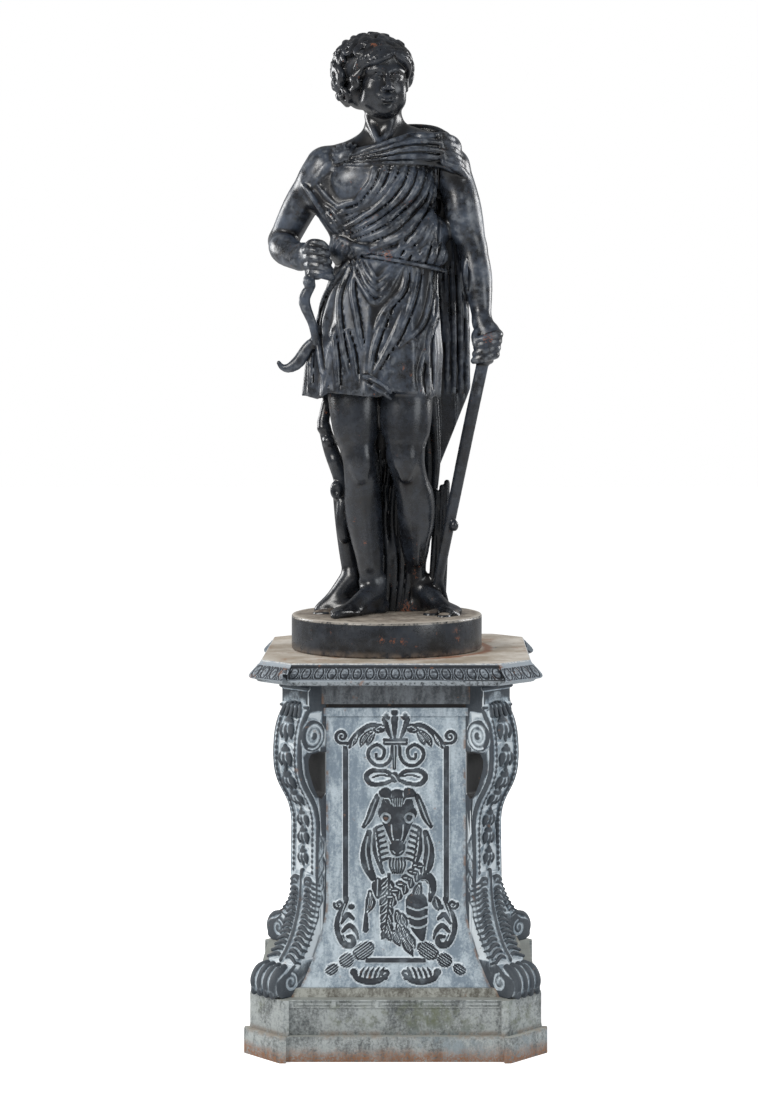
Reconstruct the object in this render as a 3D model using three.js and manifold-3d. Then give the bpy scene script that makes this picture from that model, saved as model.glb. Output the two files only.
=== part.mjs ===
import * as THREE from "three";
import { mergeVertices } from "three/addons/utils/BufferGeometryUtils.js";
import Module from "manifold-3d";

const wasm = await Module();
wasm.setup();

// Millimetres, +Z up, the front of the statue faces -Y.
const clearance = 0.3;

// Base of the pedestal: two stepped hollow frames with canted corners.
const lowerHalf = 305;
const lowerHeight = 51;
const lowerCant = 75;
const lowerWall = 36;
const upperHalf = 293;
const upperHeight = 70;
const upperCant = 68;
const upperWall = 50;
const cornerWall = 70;
const faceRecess = 10;
const cornerReturn = 14;
const bandHeight = 16;
const bandProjection = 3;

// Body of the pedestal: four plates between four corner brackets.
const bodyHeight = 621;
const faceHalf = 198;
const plateThickness = 12;
const flareHeight = 179;
const flareDepth = 58;
const footFasciaHeight = 16;
const footFasciaProjection = 9;
const friezeHeight = 44;
const friezeProjection = 9;
const filletHeight = 17;
const filletProjection = 5;
const filletGap = 8;
const bracketWidth = 80;
const bracketRoot = 226;
const footReach = 371;
const waistReach = 265;
const waistBottom = 187;
const waistTop = 330;
const bulgeReach = 314;
const bulgeHeight = 474;
const blockReach = 289;
const blockHeight = 52;
const gapBottom = 388;
const gapTop = 478;
const gapInner = 243;
const strapDepth = 30;
const gapOuter = bulgeReach - strapDepth;
const voluteReach = 268;
const voluteHeight = 515;
const voluteRadius = 34;
const voluteProjection = 4;
const heelReach = 338;
const heelHeight = 28;
const heelRadius = 17;
const huskCount = 7;
const leafRibs = 5;
const toeCount = 4;

// Relief on the plates.
const reliefHeight = 7;
const barOffset = 102;
const barWidth = 9;
const barBottom = 180;
const barLength = 312;
const scrollOffset = 108;
const scrollHeight = 508;
const scrollRadius = 13;
const palmetteHeight = 524;
const palmetteLobes = 5;
const palmetteLobe = 30;
const spiralOffset = 34;
const spiralHeight = 473;
const spiralRadius = 19;
const bowHeight = 425;
const bowHalf = 56;
const maskHeight = 334;
const maskHalf = 34;
const maskLength = 72;
const garlandTop = 262;
const garlandBottom = 78;
const garlandHalf = 42;
const cornerLeafOffset = 92;
const cornerLeafHeight = 134;
const tasselOffset = 76;
const tasselHeight = 52;
const footBarHalf = 54;
const footBarHeight = 64;

// Cap of the pedestal.
const capHeight = 46;
const capHalf = 296;
const capCant = 76;
const capTopHalf = 271;
const capUnderHalf = 280;
const capRimBottom = 12;
const capRimTop = 20;
const capPlate = 12;
const capRecessHalf = 150;
const boltRadius = 5;
const boltOffset = 206;
const capSideInset = 22;
const chipOffset = 214;
const chipWidth = 10;
const chipDepth = 34;

// Round plinth of the statue.
const discRadius = 200;
const discHeight = 73;
const discOffset = -22;
const discChamfer = 5;

// The figure, from the top of its round plinth to its hair.
const figureHeight = 1224;

// Facets under these sizes are left out.
const figureFacet = 2.2;
const bracketFacet = 1.8;
const plateFacet = 1.2;

const iron = {
  statue: new THREE.MeshStandardMaterial({ color: 0x1b1d20, roughness: 0.42, metalness: 0.6 }),
  pedestal: new THREE.MeshStandardMaterial({ color: 0x8f9aa3, roughness: 0.8, metalness: 0.2 }),
  carved: new THREE.MeshStandardMaterial({ color: 0x6f7a84, roughness: 0.75, metalness: 0.25 }),
  base: new THREE.MeshStandardMaterial({ color: 0x7a7c72, roughness: 0.88, metalness: 0.15 }),
  cap: new THREE.MeshStandardMaterial({ color: 0x8a8378, roughness: 0.85, metalness: 0.2 }),
};

const upperBottom = lowerHeight;
const bodyBottom = upperBottom + upperHeight;
const bodyTop = bodyBottom + bodyHeight;
const capTop = bodyTop + capHeight;
const discTop = capTop + discHeight;

function solid(geometry) {
  const plain = geometry.index ? geometry.clone() : mergeVertices(geometry.clone(), 1e-3);
  plain.deleteAttribute("normal");
  plain.deleteAttribute("uv");
  const merged = mergeVertices(plain, 1e-3);
  const vertProperties = merged.attributes.position.array;
  const triVerts = new Uint32Array(merged.index.array);
  return new wasm.Manifold(new wasm.Mesh({ numProp: 3, vertProperties, triVerts }));
}

function joined(bodies) {
  let whole = bodies[0];
  for (const body of bodies.slice(1)) {
    whole = whole.add(body);
  }
  return whole;
}

// True where more than two facets meet in one edge of a body.
function pinched(body) {
  const raw = body.getMesh();
  const names = [];
  for (let i = 0; i < raw.vertProperties.length; i += 3) {
    names.push(Array.from(raw.vertProperties.slice(i, i + 3), (value) => value.toFixed(3)).join());
  }
  const edges = new Map();
  for (let i = 0; i < raw.triVerts.length; i += 1) {
    const next = i % 3 === 2 ? i - 2 : i + 1;
    const ends = [names[raw.triVerts[i]], names[raw.triVerts[next]]].sort().join(" ");
    edges.set(ends, (edges.get(ends) || 0) + 1);
  }
  return [...edges.values()].some((count) => count !== 2);
}

// Facets smaller than a size are merged into their neighbours, a little less where the skin would pinch.
function settled(body, facet) {
  const plain = body.asOriginal();
  let made = plain.simplify(facet);
  for (let share = 0.9; share > 0.1 && pinched(made); share -= 0.1) {
    made = plain.simplify(facet * share);
  }
  return made;
}

// The casting is solid: pockets that its overlapping forms close off are filled.
function outerShell(body) {
  const shells = body.decompose();
  return shells.reduce((best, shell) => (shell.volume() > best.volume() ? shell : best));
}

function node(name, body, material) {
  const raw = body.getMesh();
  const geometry = new THREE.BufferGeometry();
  geometry.setAttribute("position", new THREE.BufferAttribute(raw.vertProperties, 3));
  geometry.setIndex(new THREE.BufferAttribute(raw.triVerts, 1));
  geometry.computeVertexNormals();
  const mesh = new THREE.Mesh(geometry, material);
  mesh.name = name;
  return mesh;
}

// A closed skin through rings of points, each ring with the same count.
function loft(rings) {
  const count = rings[0].length;
  const points = rings.flat();
  const faces = [];
  for (let row = 0; row + 1 < rings.length; row += 1) {
    for (let i = 0; i < count; i += 1) {
      const next = (i + 1) % count;
      const a = row * count + i;
      const b = row * count + next;
      faces.push(a, b, b + count, a, b + count, a + count);
    }
  }
  const first = new THREE.Vector3();
  const last = new THREE.Vector3();
  for (let i = 0; i < count; i += 1) {
    first.addScaledVector(rings[0][i], 1 / count);
    last.addScaledVector(rings[rings.length - 1][i], 1 / count);
  }
  points.push(first, last);
  const end = (rings.length - 1) * count;
  for (let i = 0; i < count; i += 1) {
    const next = (i + 1) % count;
    faces.push(points.length - 2, next, i);
    faces.push(points.length - 1, end + i, end + next);
  }
  const geometry = new THREE.BufferGeometry().setFromPoints(points);
  geometry.setIndex(faces);
  const made = solid(geometry);
  if (made.volume() >= 0) {
    return made;
  }
  for (let i = 0; i < faces.length; i += 3) {
    const swap = faces[i + 1];
    faces[i + 1] = faces[i + 2];
    faces[i + 2] = swap;
  }
  geometry.setIndex(faces);
  return solid(geometry);
}

function blend(values, t) {
  const place = Math.min(t, 0.9999) * (values.length - 1);
  const step = Math.floor(place);
  const part = place - step;
  const ease = part * part * (3 - 2 * part);
  return values[step] + (values[step + 1] - values[step]) * ease;
}

// A limb or fold: an oval section carried along a curve through its joints.
function limb(joints, across, deep, sides, steps, swell) {
  const path = new THREE.CatmullRomCurve3(joints, false, "centripetal");
  const rings = [];
  for (let row = 0; row <= steps; row += 1) {
    const t = row / steps;
    const centre = path.getPoint(t);
    const along = path.getTangent(t);
    const guide = Math.abs(along.y) > 0.85 ? new THREE.Vector3(0, 0, 1) : new THREE.Vector3(0, 1, 0);
    const side = new THREE.Vector3().crossVectors(guide, along).normalize();
    const front = new THREE.Vector3().crossVectors(along, side).normalize();
    const ring = [];
    for (let i = 0; i < sides; i += 1) {
      const angle = (2 * Math.PI * i) / sides;
      const grow = swell ? swell(angle, t) : 1;
      const point = centre.clone();
      point.addScaledVector(side, Math.cos(angle) * blend(across, t) * grow);
      point.addScaledVector(front, Math.sin(angle) * blend(deep, t) * grow);
      ring.push(point);
    }
    rings.push(ring);
  }
  return loft(rings);
}

// A rounded lump with its half sizes, turned about the axis that faces the viewer.
function lump(x, y, z, halfX, halfY, halfZ, turn = 0, fine = false) {
  const ball = fine ? new THREE.SphereGeometry(1, 8, 6) : new THREE.IcosahedronGeometry(1, 0);
  ball.scale(halfX, halfY, halfZ);
  ball.rotateY(-turn);
  ball.translate(x, y, z);
  return solid(ball);
}

function bar(x0, x1, y0, y1, z0, z1) {
  const box = new THREE.BoxGeometry(x1 - x0, y1 - y0, z1 - z0);
  box.translate((x0 + x1) / 2, (y0 + y1) / 2, (z0 + z1) / 2);
  return solid(box);
}

function cantedRing(half, cant, z) {
  const arris = half - cant;
  const corners = [];
  for (let side = 0; side < 4; side += 1) {
    const turn = (side * Math.PI) / 2;
    const axis = new THREE.Vector3(0, 0, 1);
    corners.push(new THREE.Vector3(-arris, -half, z).applyAxisAngle(axis, turn));
    corners.push(new THREE.Vector3(arris, -half, z).applyAxisAngle(axis, turn));
  }
  return corners;
}

function cantedBlock(half, cant, z0, z1) {
  return loft([cantedRing(half, cant, z0), cantedRing(half, cant, z1)]);
}

function quarterTurns(piece) {
  return [0, 90, 180, 270].map((degrees) => piece.rotate([0, 0, degrees]));
}

// Base frames: canted corners stand proud of the recessed faces.
function baseFrame(half, cant, wall, z0, height) {
  let body = cantedBlock(half, cant, z0, z0 + height);
  const hole = half - wall;
  const holeArris = Math.SQRT2 * (half + half - cant) / Math.SQRT2 - Math.SQRT2 * cornerWall - hole;
  body = body.subtract(cantedBlock(hole, hole - holeArris, z0 - 1, z0 + height + 1));
  const faceEnd = half - cant - cornerReturn;
  const cut = bar(-faceEnd, faceEnd, -half - 1, -half + faceRecess, z0 - 1, z0 + height + 1);
  for (const piece of quarterTurns(cut)) {
    body = body.subtract(piece);
  }
  return body;
}

const lowerFrame = baseFrame(lowerHalf, lowerCant, lowerWall, 0, lowerHeight);
let upperFrame = baseFrame(upperHalf, upperCant, upperWall, upperBottom, upperHeight);
const bandFront = upperHalf - faceRecess + bandProjection;
const bandEnd = upperHalf - upperCant - cornerReturn;
const bandBack = upperHalf - faceRecess - 1;
const band = bar(-bandEnd, bandEnd, -bandFront, -bandBack, bodyBottom - bandHeight, bodyBottom);
upperFrame = joined([upperFrame, ...quarterTurns(band)]);

// The face of a plate stands this far from the centre at a height over the base.
function faceDistance(height) {
  const low = Math.max(0, (flareHeight - height) / flareHeight);
  return faceHalf + flareDepth * Math.pow(low, 1.7);
}

function plateOutline() {
  const outline = new THREE.Shape();
  outline.moveTo(-faceDistance(0) - footFasciaProjection, 0);
  outline.lineTo(-faceDistance(0) - footFasciaProjection, footFasciaHeight);
  const rows = 5;
  for (let row = 0; row <= rows; row += 1) {
    const height = footFasciaHeight + ((flareHeight - footFasciaHeight) * row) / rows;
    outline.lineTo(-faceDistance(height), height);
  }
  const filletTop = bodyHeight - friezeHeight - filletGap;
  outline.lineTo(-faceHalf, filletTop - filletHeight);
  outline.lineTo(-faceHalf - filletProjection, filletTop - filletHeight);
  outline.lineTo(-faceHalf - filletProjection, filletTop);
  outline.lineTo(-faceHalf, filletTop);
  outline.lineTo(-faceHalf, bodyHeight - friezeHeight);
  outline.lineTo(-faceHalf - friezeProjection, bodyHeight - friezeHeight);
  outline.lineTo(-faceHalf - friezeProjection, bodyHeight - clearance);
  outline.lineTo(-faceHalf + plateThickness, bodyHeight - clearance);
  outline.lineTo(-faceHalf + plateThickness, flareHeight);
  for (let row = rows; row >= 0; row -= 1) {
    const height = (flareHeight * row) / (rows + 1);
    outline.lineTo(-faceDistance(height) + plateThickness, height);
  }
  return outline;
}

// Relief lump standing on a plate at an offset and a height over the base.
function relief(offset, height, halfWidth, halfHeight, rise = reliefHeight, turn = 0) {
  const form = new THREE.OctahedronGeometry(1, 0);
  form.rotateY(Math.PI / 4);
  form.scale(halfWidth * 1.25, rise, halfHeight * 1.25);
  form.rotateY(-turn);
  form.translate(offset, -faceDistance(height), bodyBottom + height);
  return solid(form);
}

function reliefDisc(offset, height, radius, rise) {
  const disc = new THREE.CylinderGeometry(radius * 0.7, radius, rise + 2, 7);
  disc.rotateX(-Math.PI / 2);
  disc.translate(offset, -faceDistance(height) - rise / 2 + 1, bodyBottom + height);
  return solid(disc);
}

function plateRelief() {
  const pieces = [];
  for (const side of [-1, 1]) {
    const barFace = -faceHalf;
    const barSide = side * barOffset;
    const barTop = bodyBottom + barBottom + barLength;
    const barFront = barFace - reliefHeight / 2;
    const half = barWidth / 2;
    pieces.push(bar(barSide - half, barSide + half, barFront, barFace + 1, bodyBottom + barBottom, barTop));
    pieces.push(reliefDisc(side * scrollOffset, scrollHeight, scrollRadius, reliefHeight));
    pieces.push(relief(side * 84, scrollHeight + 28, 26, 9, reliefHeight, side * 0.7));
    pieces.push(relief(side * 52, scrollHeight + 50, 24, 8, reliefHeight, side * 0.3));
    pieces.push(reliefDisc(side * spiralOffset, spiralHeight, spiralRadius, reliefHeight));
    pieces.push(relief(side * bowHalf * 0.55, bowHeight, bowHalf * 0.45, 16));
    pieces.push(relief(side * maskHalf * 1.5, maskHeight + 14, 24, 10, reliefHeight, side * -0.9));
    pieces.push(relief(side * maskHalf * 0.62, maskHeight + 56, 9, 26, reliefHeight * 1.6, side * 0.25));
    pieces.push(relief(side * maskHalf * 1.15, garlandTop - 40, 20, 52, reliefHeight, side * -0.25));
    pieces.push(relief(side * garlandHalf * 0.6, garlandTop - 96, 14, 48, reliefHeight, side * 0.45));
    pieces.push(reliefDisc(side * (cornerLeafOffset + 18), cornerLeafHeight + 44, 13, reliefHeight));
    pieces.push(relief(side * cornerLeafOffset, cornerLeafHeight + 22, 12, 32, reliefHeight, side * 0.4));
    pieces.push(relief(side * (cornerLeafOffset + 14), cornerLeafHeight - 22, 22, 11, reliefHeight, 0));
    pieces.push(relief(side * tasselOffset, tasselHeight + 12, 36, 12, reliefHeight, side * -0.62));
    pieces.push(relief(side * (tasselOffset + 42), tasselHeight - 6, 20, 15, reliefHeight, side * -0.62));
    pieces.push(relief(side * 46, footBarHeight - 30, 38, 10, reliefHeight, side * 0.12));
  }
  for (let lobe = 0; lobe < palmetteLobes; lobe += 1) {
    const lean = ((lobe - (palmetteLobes - 1) / 2) * Math.PI) / 6;
    const offset = Math.sin(lean) * palmetteLobe;
    const height = palmetteHeight + Math.cos(lean) * palmetteLobe * 0.8;
    pieces.push(relief(offset, height, 7, palmetteLobe * 0.6, reliefHeight, -lean));
  }
  const face = -faceHalf;
  const maskZ = bodyBottom + maskHeight;
  pieces.push(lump(0, face - 4, maskZ + 14, maskHalf, reliefHeight * 1.5, maskLength * 0.62, 0, true));
  pieces.push(lump(0, face - 6, maskZ - maskLength * 0.55, 17, reliefHeight * 1.5, 32, 0, true));
  pieces.push(relief(0, garlandTop - 110, garlandHalf * 0.55, 66, reliefHeight));
  pieces.push(relief(0, garlandBottom + 26, garlandHalf * 0.5, 34, reliefHeight, 0.3));
  pieces.push(relief(0, footBarHeight, footBarHalf, 5, reliefHeight));
  return pieces;
}

const edgeShift = (bracketWidth / 2 + clearance) * Math.SQRT2;

function wedge() {
  const far = 2 * faceHalf;
  const outline = new THREE.Shape();
  outline.moveTo(0, -edgeShift);
  outline.lineTo(far, -edgeShift - far);
  outline.lineTo(-far, -edgeShift - far);
  const prism = new THREE.ExtrudeGeometry(outline, { depth: 2 * bodyHeight, bevelEnabled: false });
  prism.translate(0, 0, bodyBottom - 1);
  return solid(prism);
}

const plateLength = 3 * faceHalf;
const plateForm = new THREE.ExtrudeGeometry(plateOutline(), { depth: plateLength, bevelEnabled: false });
plateForm.rotateX(Math.PI / 2);
plateForm.rotateZ(Math.PI / 2);
plateForm.translate(-plateLength / 2, 0, bodyBottom);
const plateSpan = new THREE.Box3().setFromBufferAttribute(plateForm.attributes.position);
if (plateSpan.max.y > 0) {
  plateForm.rotateZ(Math.PI);
}
const plate = settled(joined([solid(plateForm), ...plateRelief()]).intersect(wedge()), plateFacet);

// Corner bracket in its own radial plane: x is the distance from the centre line.
function bracketOutline() {
  const outline = new THREE.Shape();
  const top = bodyHeight - clearance;
  const blockBottom = bodyHeight - blockHeight;
  outline.moveTo(bracketRoot, 0);
  outline.lineTo(footReach - 13, 0);
  outline.quadraticCurveTo(footReach + 2, 12, footReach, 30);
  outline.quadraticCurveTo(footReach - 3, 44, footReach - 26, 48);
  outline.bezierCurveTo(footReach - 58, 66, waistReach + 14, 104, waistReach + 2, waistBottom);
  outline.lineTo(waistReach, waistTop);
  outline.bezierCurveTo(waistReach, waistTop + 66, bulgeReach, bulgeHeight - 76, bulgeReach, bulgeHeight);
  outline.bezierCurveTo(bulgeReach, bulgeHeight + 60, blockReach + 12, blockBottom - 18, blockReach, blockBottom);
  outline.lineTo(blockReach, top);
  outline.lineTo(bracketRoot, top);
  return outline;
}

function gapOutline() {
  const outline = new THREE.Shape();
  const middle = (gapInner + gapOuter) / 2;
  outline.moveTo(gapInner, gapBottom + 30);
  const toe = (gapOuter - gapInner) * 0.3;
  outline.quadraticCurveTo(gapInner, gapBottom, gapInner + toe, gapBottom);
  outline.quadraticCurveTo(middle, gapBottom + 30, gapOuter, gapTop - 30);
  outline.quadraticCurveTo(gapOuter, gapTop, middle, gapTop);
  outline.lineTo(gapInner, gapTop);
  return outline;
}

function acrossBracket(shape, width, curveSegments) {
  const form = new THREE.ExtrudeGeometry(shape, { depth: width, bevelEnabled: false, curveSegments });
  form.translate(0, 0, -width / 2);
  form.rotateX(Math.PI / 2);
  form.translate(0, 0, bodyBottom);
  return solid(form);
}

function cheekDisc(reach, height, radius, width, sides) {
  const disc = new THREE.CylinderGeometry(radius, radius, width, sides);
  disc.translate(reach, 0, bodyBottom + height);
  return solid(disc);
}

function octa(x, y, z, halfX, halfY, halfZ, turn) {
  const form = new THREE.OctahedronGeometry(1, 0);
  form.scale(halfX, halfY, halfZ);
  form.rotateX(turn);
  form.translate(x, y, z);
  return solid(form);
}

// The outermost point of the bracket's outline at a height.
function frontReach(profile, height) {
  let reach = 0;
  profile.forEach((start, index) => {
    const end = profile[(index + 1) % profile.length];
    const share = (height - start.y) / (end.y - start.y);
    if (share >= 0 && share <= 1) {
      reach = Math.max(reach, start.x + share * (end.x - start.x));
    }
  });
  return reach;
}

function bracketBody() {
  const profile = bracketOutline().getPoints(12);
  const huskTop = bulgeHeight + 62;
  const huskRun = huskTop - waistBottom - 49;
  let body = acrossBracket(bracketOutline(), bracketWidth, 4);
  const voluteWidth = bracketWidth + 2 * voluteProjection;
  body = body.subtract(acrossBracket(gapOutline(), bracketWidth + 2, 4));
  const pieces = [body];
  const clearOfPlate = 8;
  pieces.push(cheekDisc(voluteReach + clearOfPlate, voluteHeight, voluteRadius, voluteWidth, 12));
  pieces.push(cheekDisc(heelReach, heelHeight + 4, heelRadius, bracketWidth + 5, 8));
  for (let husk = 0; husk < huskCount; husk += 1) {
    const height = huskTop - (husk * huskRun) / (huskCount - 1);
    const reach = frontReach(profile, height);
    pieces.push(octa(reach, 0, bodyBottom + height, 11, 20, 20, 0));
  }
  for (let rib = 0; rib < leafRibs; rib += 1) {
    const height = waistBottom + 10 - rib * 26;
    const spread = Math.pow(Math.max(0, (waistBottom - height) / waistBottom), 1.6);
    const reach = waistReach + 4 + 82 * spread;
    for (const side of [-1, 1]) {
      pieces.push(octa(reach, side * 18, bodyBottom + height, 11, 10, 25, side * 0.7));
    }
  }
  for (let toe = 0; toe < toeCount; toe += 1) {
    const offset = ((toe - (toeCount - 1) / 2) * bracketWidth) / toeCount;
    pieces.push(octa(footReach - 8, offset, bodyBottom + 24, 18, bracketWidth / toeCount / 1.4, 32, 0));
  }
  return joined(pieces);
}

const bracketTurn = 45;
const trimHigh = bar(0, 2 * footReach, -footReach, footReach, bodyBottom, bodyTop - clearance);
const cheekLimit = bracketWidth / 2 + voluteProjection;
const plateEdgeReach = faceHalf * Math.SQRT2 - bracketWidth / 2;
let bracket = bracketBody().intersect(trimHigh);
// The cheeks stay flat where the plates meet them.
for (const side of [-1, 1]) {
  const near = side * (bracketWidth / 2);
  const far = side * (cheekLimit + 8);
  const strip = bar(0, plateEdgeReach + 6, Math.min(near, far), Math.max(near, far), 0, bodyTop + 1);
  bracket = bracket.subtract(strip);
}

bracket = settled(bracket, bracketFacet);

// Cap: a canted plate with a sloping moulded edge, hollow underneath.
let cap = loft([
  cantedRing(capUnderHalf, capCant - 6, bodyTop),
  cantedRing(capHalf, capCant, bodyTop + capRimBottom),
  cantedRing(capHalf, capCant, bodyTop + capRimTop),
  cantedRing(capTopHalf, capCant - 12, capTop),
]);
// Between its canted corners each side stands back, so the corners read as ears.
const earEnd = capHalf - capCant;
const sideReach = capHalf - capSideInset;
const inset = bar(-earEnd, earEnd, -sideReach - 2 * capSideInset, -sideReach, bodyTop - 1, capTop + 1);
for (const side of quarterTurns(inset)) {
  cap = cap.subtract(side);
}
const recess = bar(-capRecessHalf, capRecessHalf, -capRecessHalf, capRecessHalf, bodyTop - 1, capTop - capPlate);
cap = cap.subtract(recess);
const bolt = new THREE.CylinderGeometry(boltRadius, boltRadius, 2 * capHeight, 10);
bolt.rotateX(Math.PI / 2);
bolt.translate(boltOffset, 0, capTop);
cap = cap.subtract(solid(bolt));
const chipEnd = bodyTop + capRimTop + 6;
const chip = bar(-chipOffset - chipWidth, -chipOffset, -capHalf - 2, -capHalf + chipDepth, bodyTop - 1, chipEnd);
cap = cap.subtract(chip);

// The statue is one casting. Its joints are shares of the figure's height.
const unit = figureHeight / 1224;

function at(x, y, height) {
  return new THREE.Vector3(x * unit, y * unit, discTop + (height - 861) * unit);
}

function figureLimb(joints, across, deep, sides, steps, swell) {
  return limb(joints, across.map((r) => r * unit), deep.map((r) => r * unit), sides, steps, swell);
}

function figureLump(x, y, height, halfX, halfY, halfZ, turn = 0, fine = false) {
  const p = at(x, y, height);
  return lump(p.x, p.y, p.z, halfX * unit, halfY * unit, halfZ * unit, turn, fine);
}

function torso() {
  const folds = (angle, t) => {
    const sweep = Math.sin(6.5 * t * Math.PI + 2.6 * Math.cos(angle));
    return 1 + 0.045 * sweep * Math.sin(Math.PI * Math.min(1, t * 1.2));
  };
  const spine = [at(-10, 2, 1590), at(-6, 0, 1650), at(-18, 2, 1730), at(-16, 8, 1800), at(-22, 12, 1852)];
  return figureLimb(spine, [110, 120, 112, 118, 66], [80, 94, 90, 80, 46], 20, 12, folds);
}

function shoulders() {
  const line = [at(-152, 8, 1800), at(-92, 10, 1826), at(-26, 10, 1846), at(60, 8, 1842), at(122, 8, 1804)];
  return figureLimb(line, [44, 36, 42, 42, 46], [46, 44, 44, 46, 48], 9, 6);
}

function skirt() {
  const folds = (angle, t) => {
    const pleats = Math.cos(9 * angle + 3 * t) + 0.5 * Math.cos(14 * angle + 1);
    return 1 + 0.05 * pleats * Math.min(1, 0.25 + t);
  };
  const fall = [at(-12, 0, 1606), at(-36, -2, 1520), at(-50, -4, 1400), at(-55, -4, 1318)];
  return figureLimb(fall, [112, 132, 138, 142], [82, 100, 104, 112], 28, 5, folds);
}

function cloakBack() {
  const rings = [];
  const rows = 7;
  const sides = 22;
  for (let row = 0; row <= rows; row += 1) {
    const t = row / rows;
    const ring = [];
    for (let i = 0; i < sides; i += 1) {
      const angle = (2 * Math.PI * i) / sides;
      const folds = 1 + 0.2 * Math.cos(7 * angle + 2 * t) * Math.min(1, t * 3);
      const x = 36 + 3 * t + Math.cos(angle) * (90 + 30 * Math.sin(Math.PI * Math.min(0.5, t * 1.6)));
      const y = 48 + 46 * Math.sqrt(t) + Math.sin(angle) * (28 + 6 * t) * folds;
      const hem = 1170 + 2.5 * Math.max(0, x - 90) + 0.6 * Math.max(0, 20 - x);
      ring.push(at(x, y, 1862 + (hem - 1862) * t));
    }
    rings.push(ring);
  }
  return loft(rings);
}

function shoulderRolls() {
  const pieces = [];
  for (let roll = 0; roll < 4; roll += 1) {
    const path = [
      at(-108, -40, 1838 - roll * 5),
      at(-60, -76, 1842 - roll * 9),
      at(10, -84, 1848 - roll * 12),
      at(76, -66 - roll * 2, 1862 - roll * 17),
      at(104 + roll * 11, -22 - roll * 2, 1870 - roll * 22),
      at(106 + roll * 10, 44, 1862 - roll * 20),
    ];
    pieces.push(figureLimb(path, [9, 10, 12, 14, 15, 14], [9, 10, 12, 14, 15, 14], 5, 8));
  }
  pieces.push(figureLump(-102, -44, 1846, 18, 16, 14, 0.5));
  return pieces;
}

function chestFolds() {
  const pieces = [];
  for (let fold = 0; fold < 4; fold += 1) {
    const spread = fold / 3;
    const path = [
      at(-30 + 100 * spread, -82 + 6 * spread, 1812),
      at(-88 + 118 * spread, -93, 1752 - 22 * spread),
      at(-128 + 108 * spread, -84 - 8 * spread, 1704 - 80 * spread),
    ];
    pieces.push(figureLimb(path, [7, 9, 8], [7, 9, 8], 5, 4));
  }
  return pieces;
}

function skirtFestoons() {
  const pieces = [];
  for (let fold = 0; fold < 3; fold += 1) {
    const drop = fold * 30;
    const path = [
      at(-104 + fold * 6, -72, 1596 - drop * 0.3),
      at(-80 + fold * 4, -102, 1552 - drop),
      at(-46, -110, 1524 - drop),
      at(-4, -102, 1552 - drop),
      at(34, -84, 1590 - drop * 0.4),
    ];
    pieces.push(figureLimb(path, [6, 8, 9, 8, 6], [6, 8, 9, 8, 6], 5, 6));
  }
  pieces.push(figureLump(-42, -106, 1330, 22, 10, 12, 0.5));
  return pieces;
}

function belt() {
  const rings = [-7, 7].map((edge) => {
    const ring = [];
    for (let i = 0; i < 16; i += 1) {
      const angle = (2 * Math.PI * i) / 16;
      const x = -8 + Math.cos(angle) * 116;
      ring.push(at(x, Math.sin(angle) * 90, 1602 - 0.18 * (x + 8) + edge));
    }
    return ring;
  });
  return joined([loft(rings), figureLump(-100, -70, 1640, 30, 24, 22, -0.4)]);
}

function foot(heel, ball, toe, order) {
  const pieces = [];
  const raised = (point, height) => new THREE.Vector3(point.x, point.y, point.z + height * unit);
  const instep = raised(heel.clone().lerp(ball, 0.42), 27);
  const joints = [raised(heel, 22), instep, raised(ball, 15), raised(toe, 8)];
  pieces.push(figureLimb(joints, [24, 28, 16, 9], [23, 26, 31, 27], 8, 5));
  const along = toe.clone().sub(ball).normalize();
  const sideways = new THREE.Vector3(-along.y, along.x, 0);
  for (let i = 0; i < 5; i += 1) {
    const offset = (i - 2) * 11 * unit * order;
    const reach = (12 - 4 * i) * unit;
    const place = toe.clone().addScaledVector(sideways, offset).addScaledVector(along, reach);
    const size = (i === 0 ? 11 : 8) * unit;
    pieces.push(lump(place.x, place.y, discTop + size * 0.6, size, size * 1.3, size));
  }
  return pieces;
}

function legs() {
  const pieces = [];
  const rightLeg = [
    at(-92, 0, 1400),
    at(-90, -8, 1320),
    at(-84, -18, 1246),
    at(-74, -22, 1180),
    at(-71, 4, 1109),
    at(-64, 10, 1041),
    at(-54, 8, 972),
    at(-44, 6, 890),
  ];
  const leftLeg = [
    at(24, -4, 1400),
    at(24, -18, 1326),
    at(16, -34, 1246),
    at(15, -42, 1180),
    at(34, -10, 1109),
    at(38, 10, 1060),
    at(43, 36, 985),
    at(46, 52, 890),
  ];
  pieces.push(figureLimb(rightLeg, [58, 53, 43, 36, 40, 36, 27, 23], [62, 58, 48, 41, 45, 41, 31, 28], 10, 12));
  pieces.push(figureLimb(leftLeg, [58, 52, 48, 38, 39, 37, 25, 22], [60, 56, 50, 42, 45, 41, 32, 28], 10, 12));
  pieces.push(figureLump(-76, -48, 1182, 24, 18, 28));
  pieces.push(figureLump(16, -70, 1182, 25, 18, 28));
  pieces.push(...foot(at(-34, 16, 861), at(-106, -62, 861), at(-130, -90, 861), -1));
  pieces.push(...foot(at(50, 62, 861), at(104, -14, 861), at(124, -42, 861), 1));
  return pieces;
}

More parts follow.
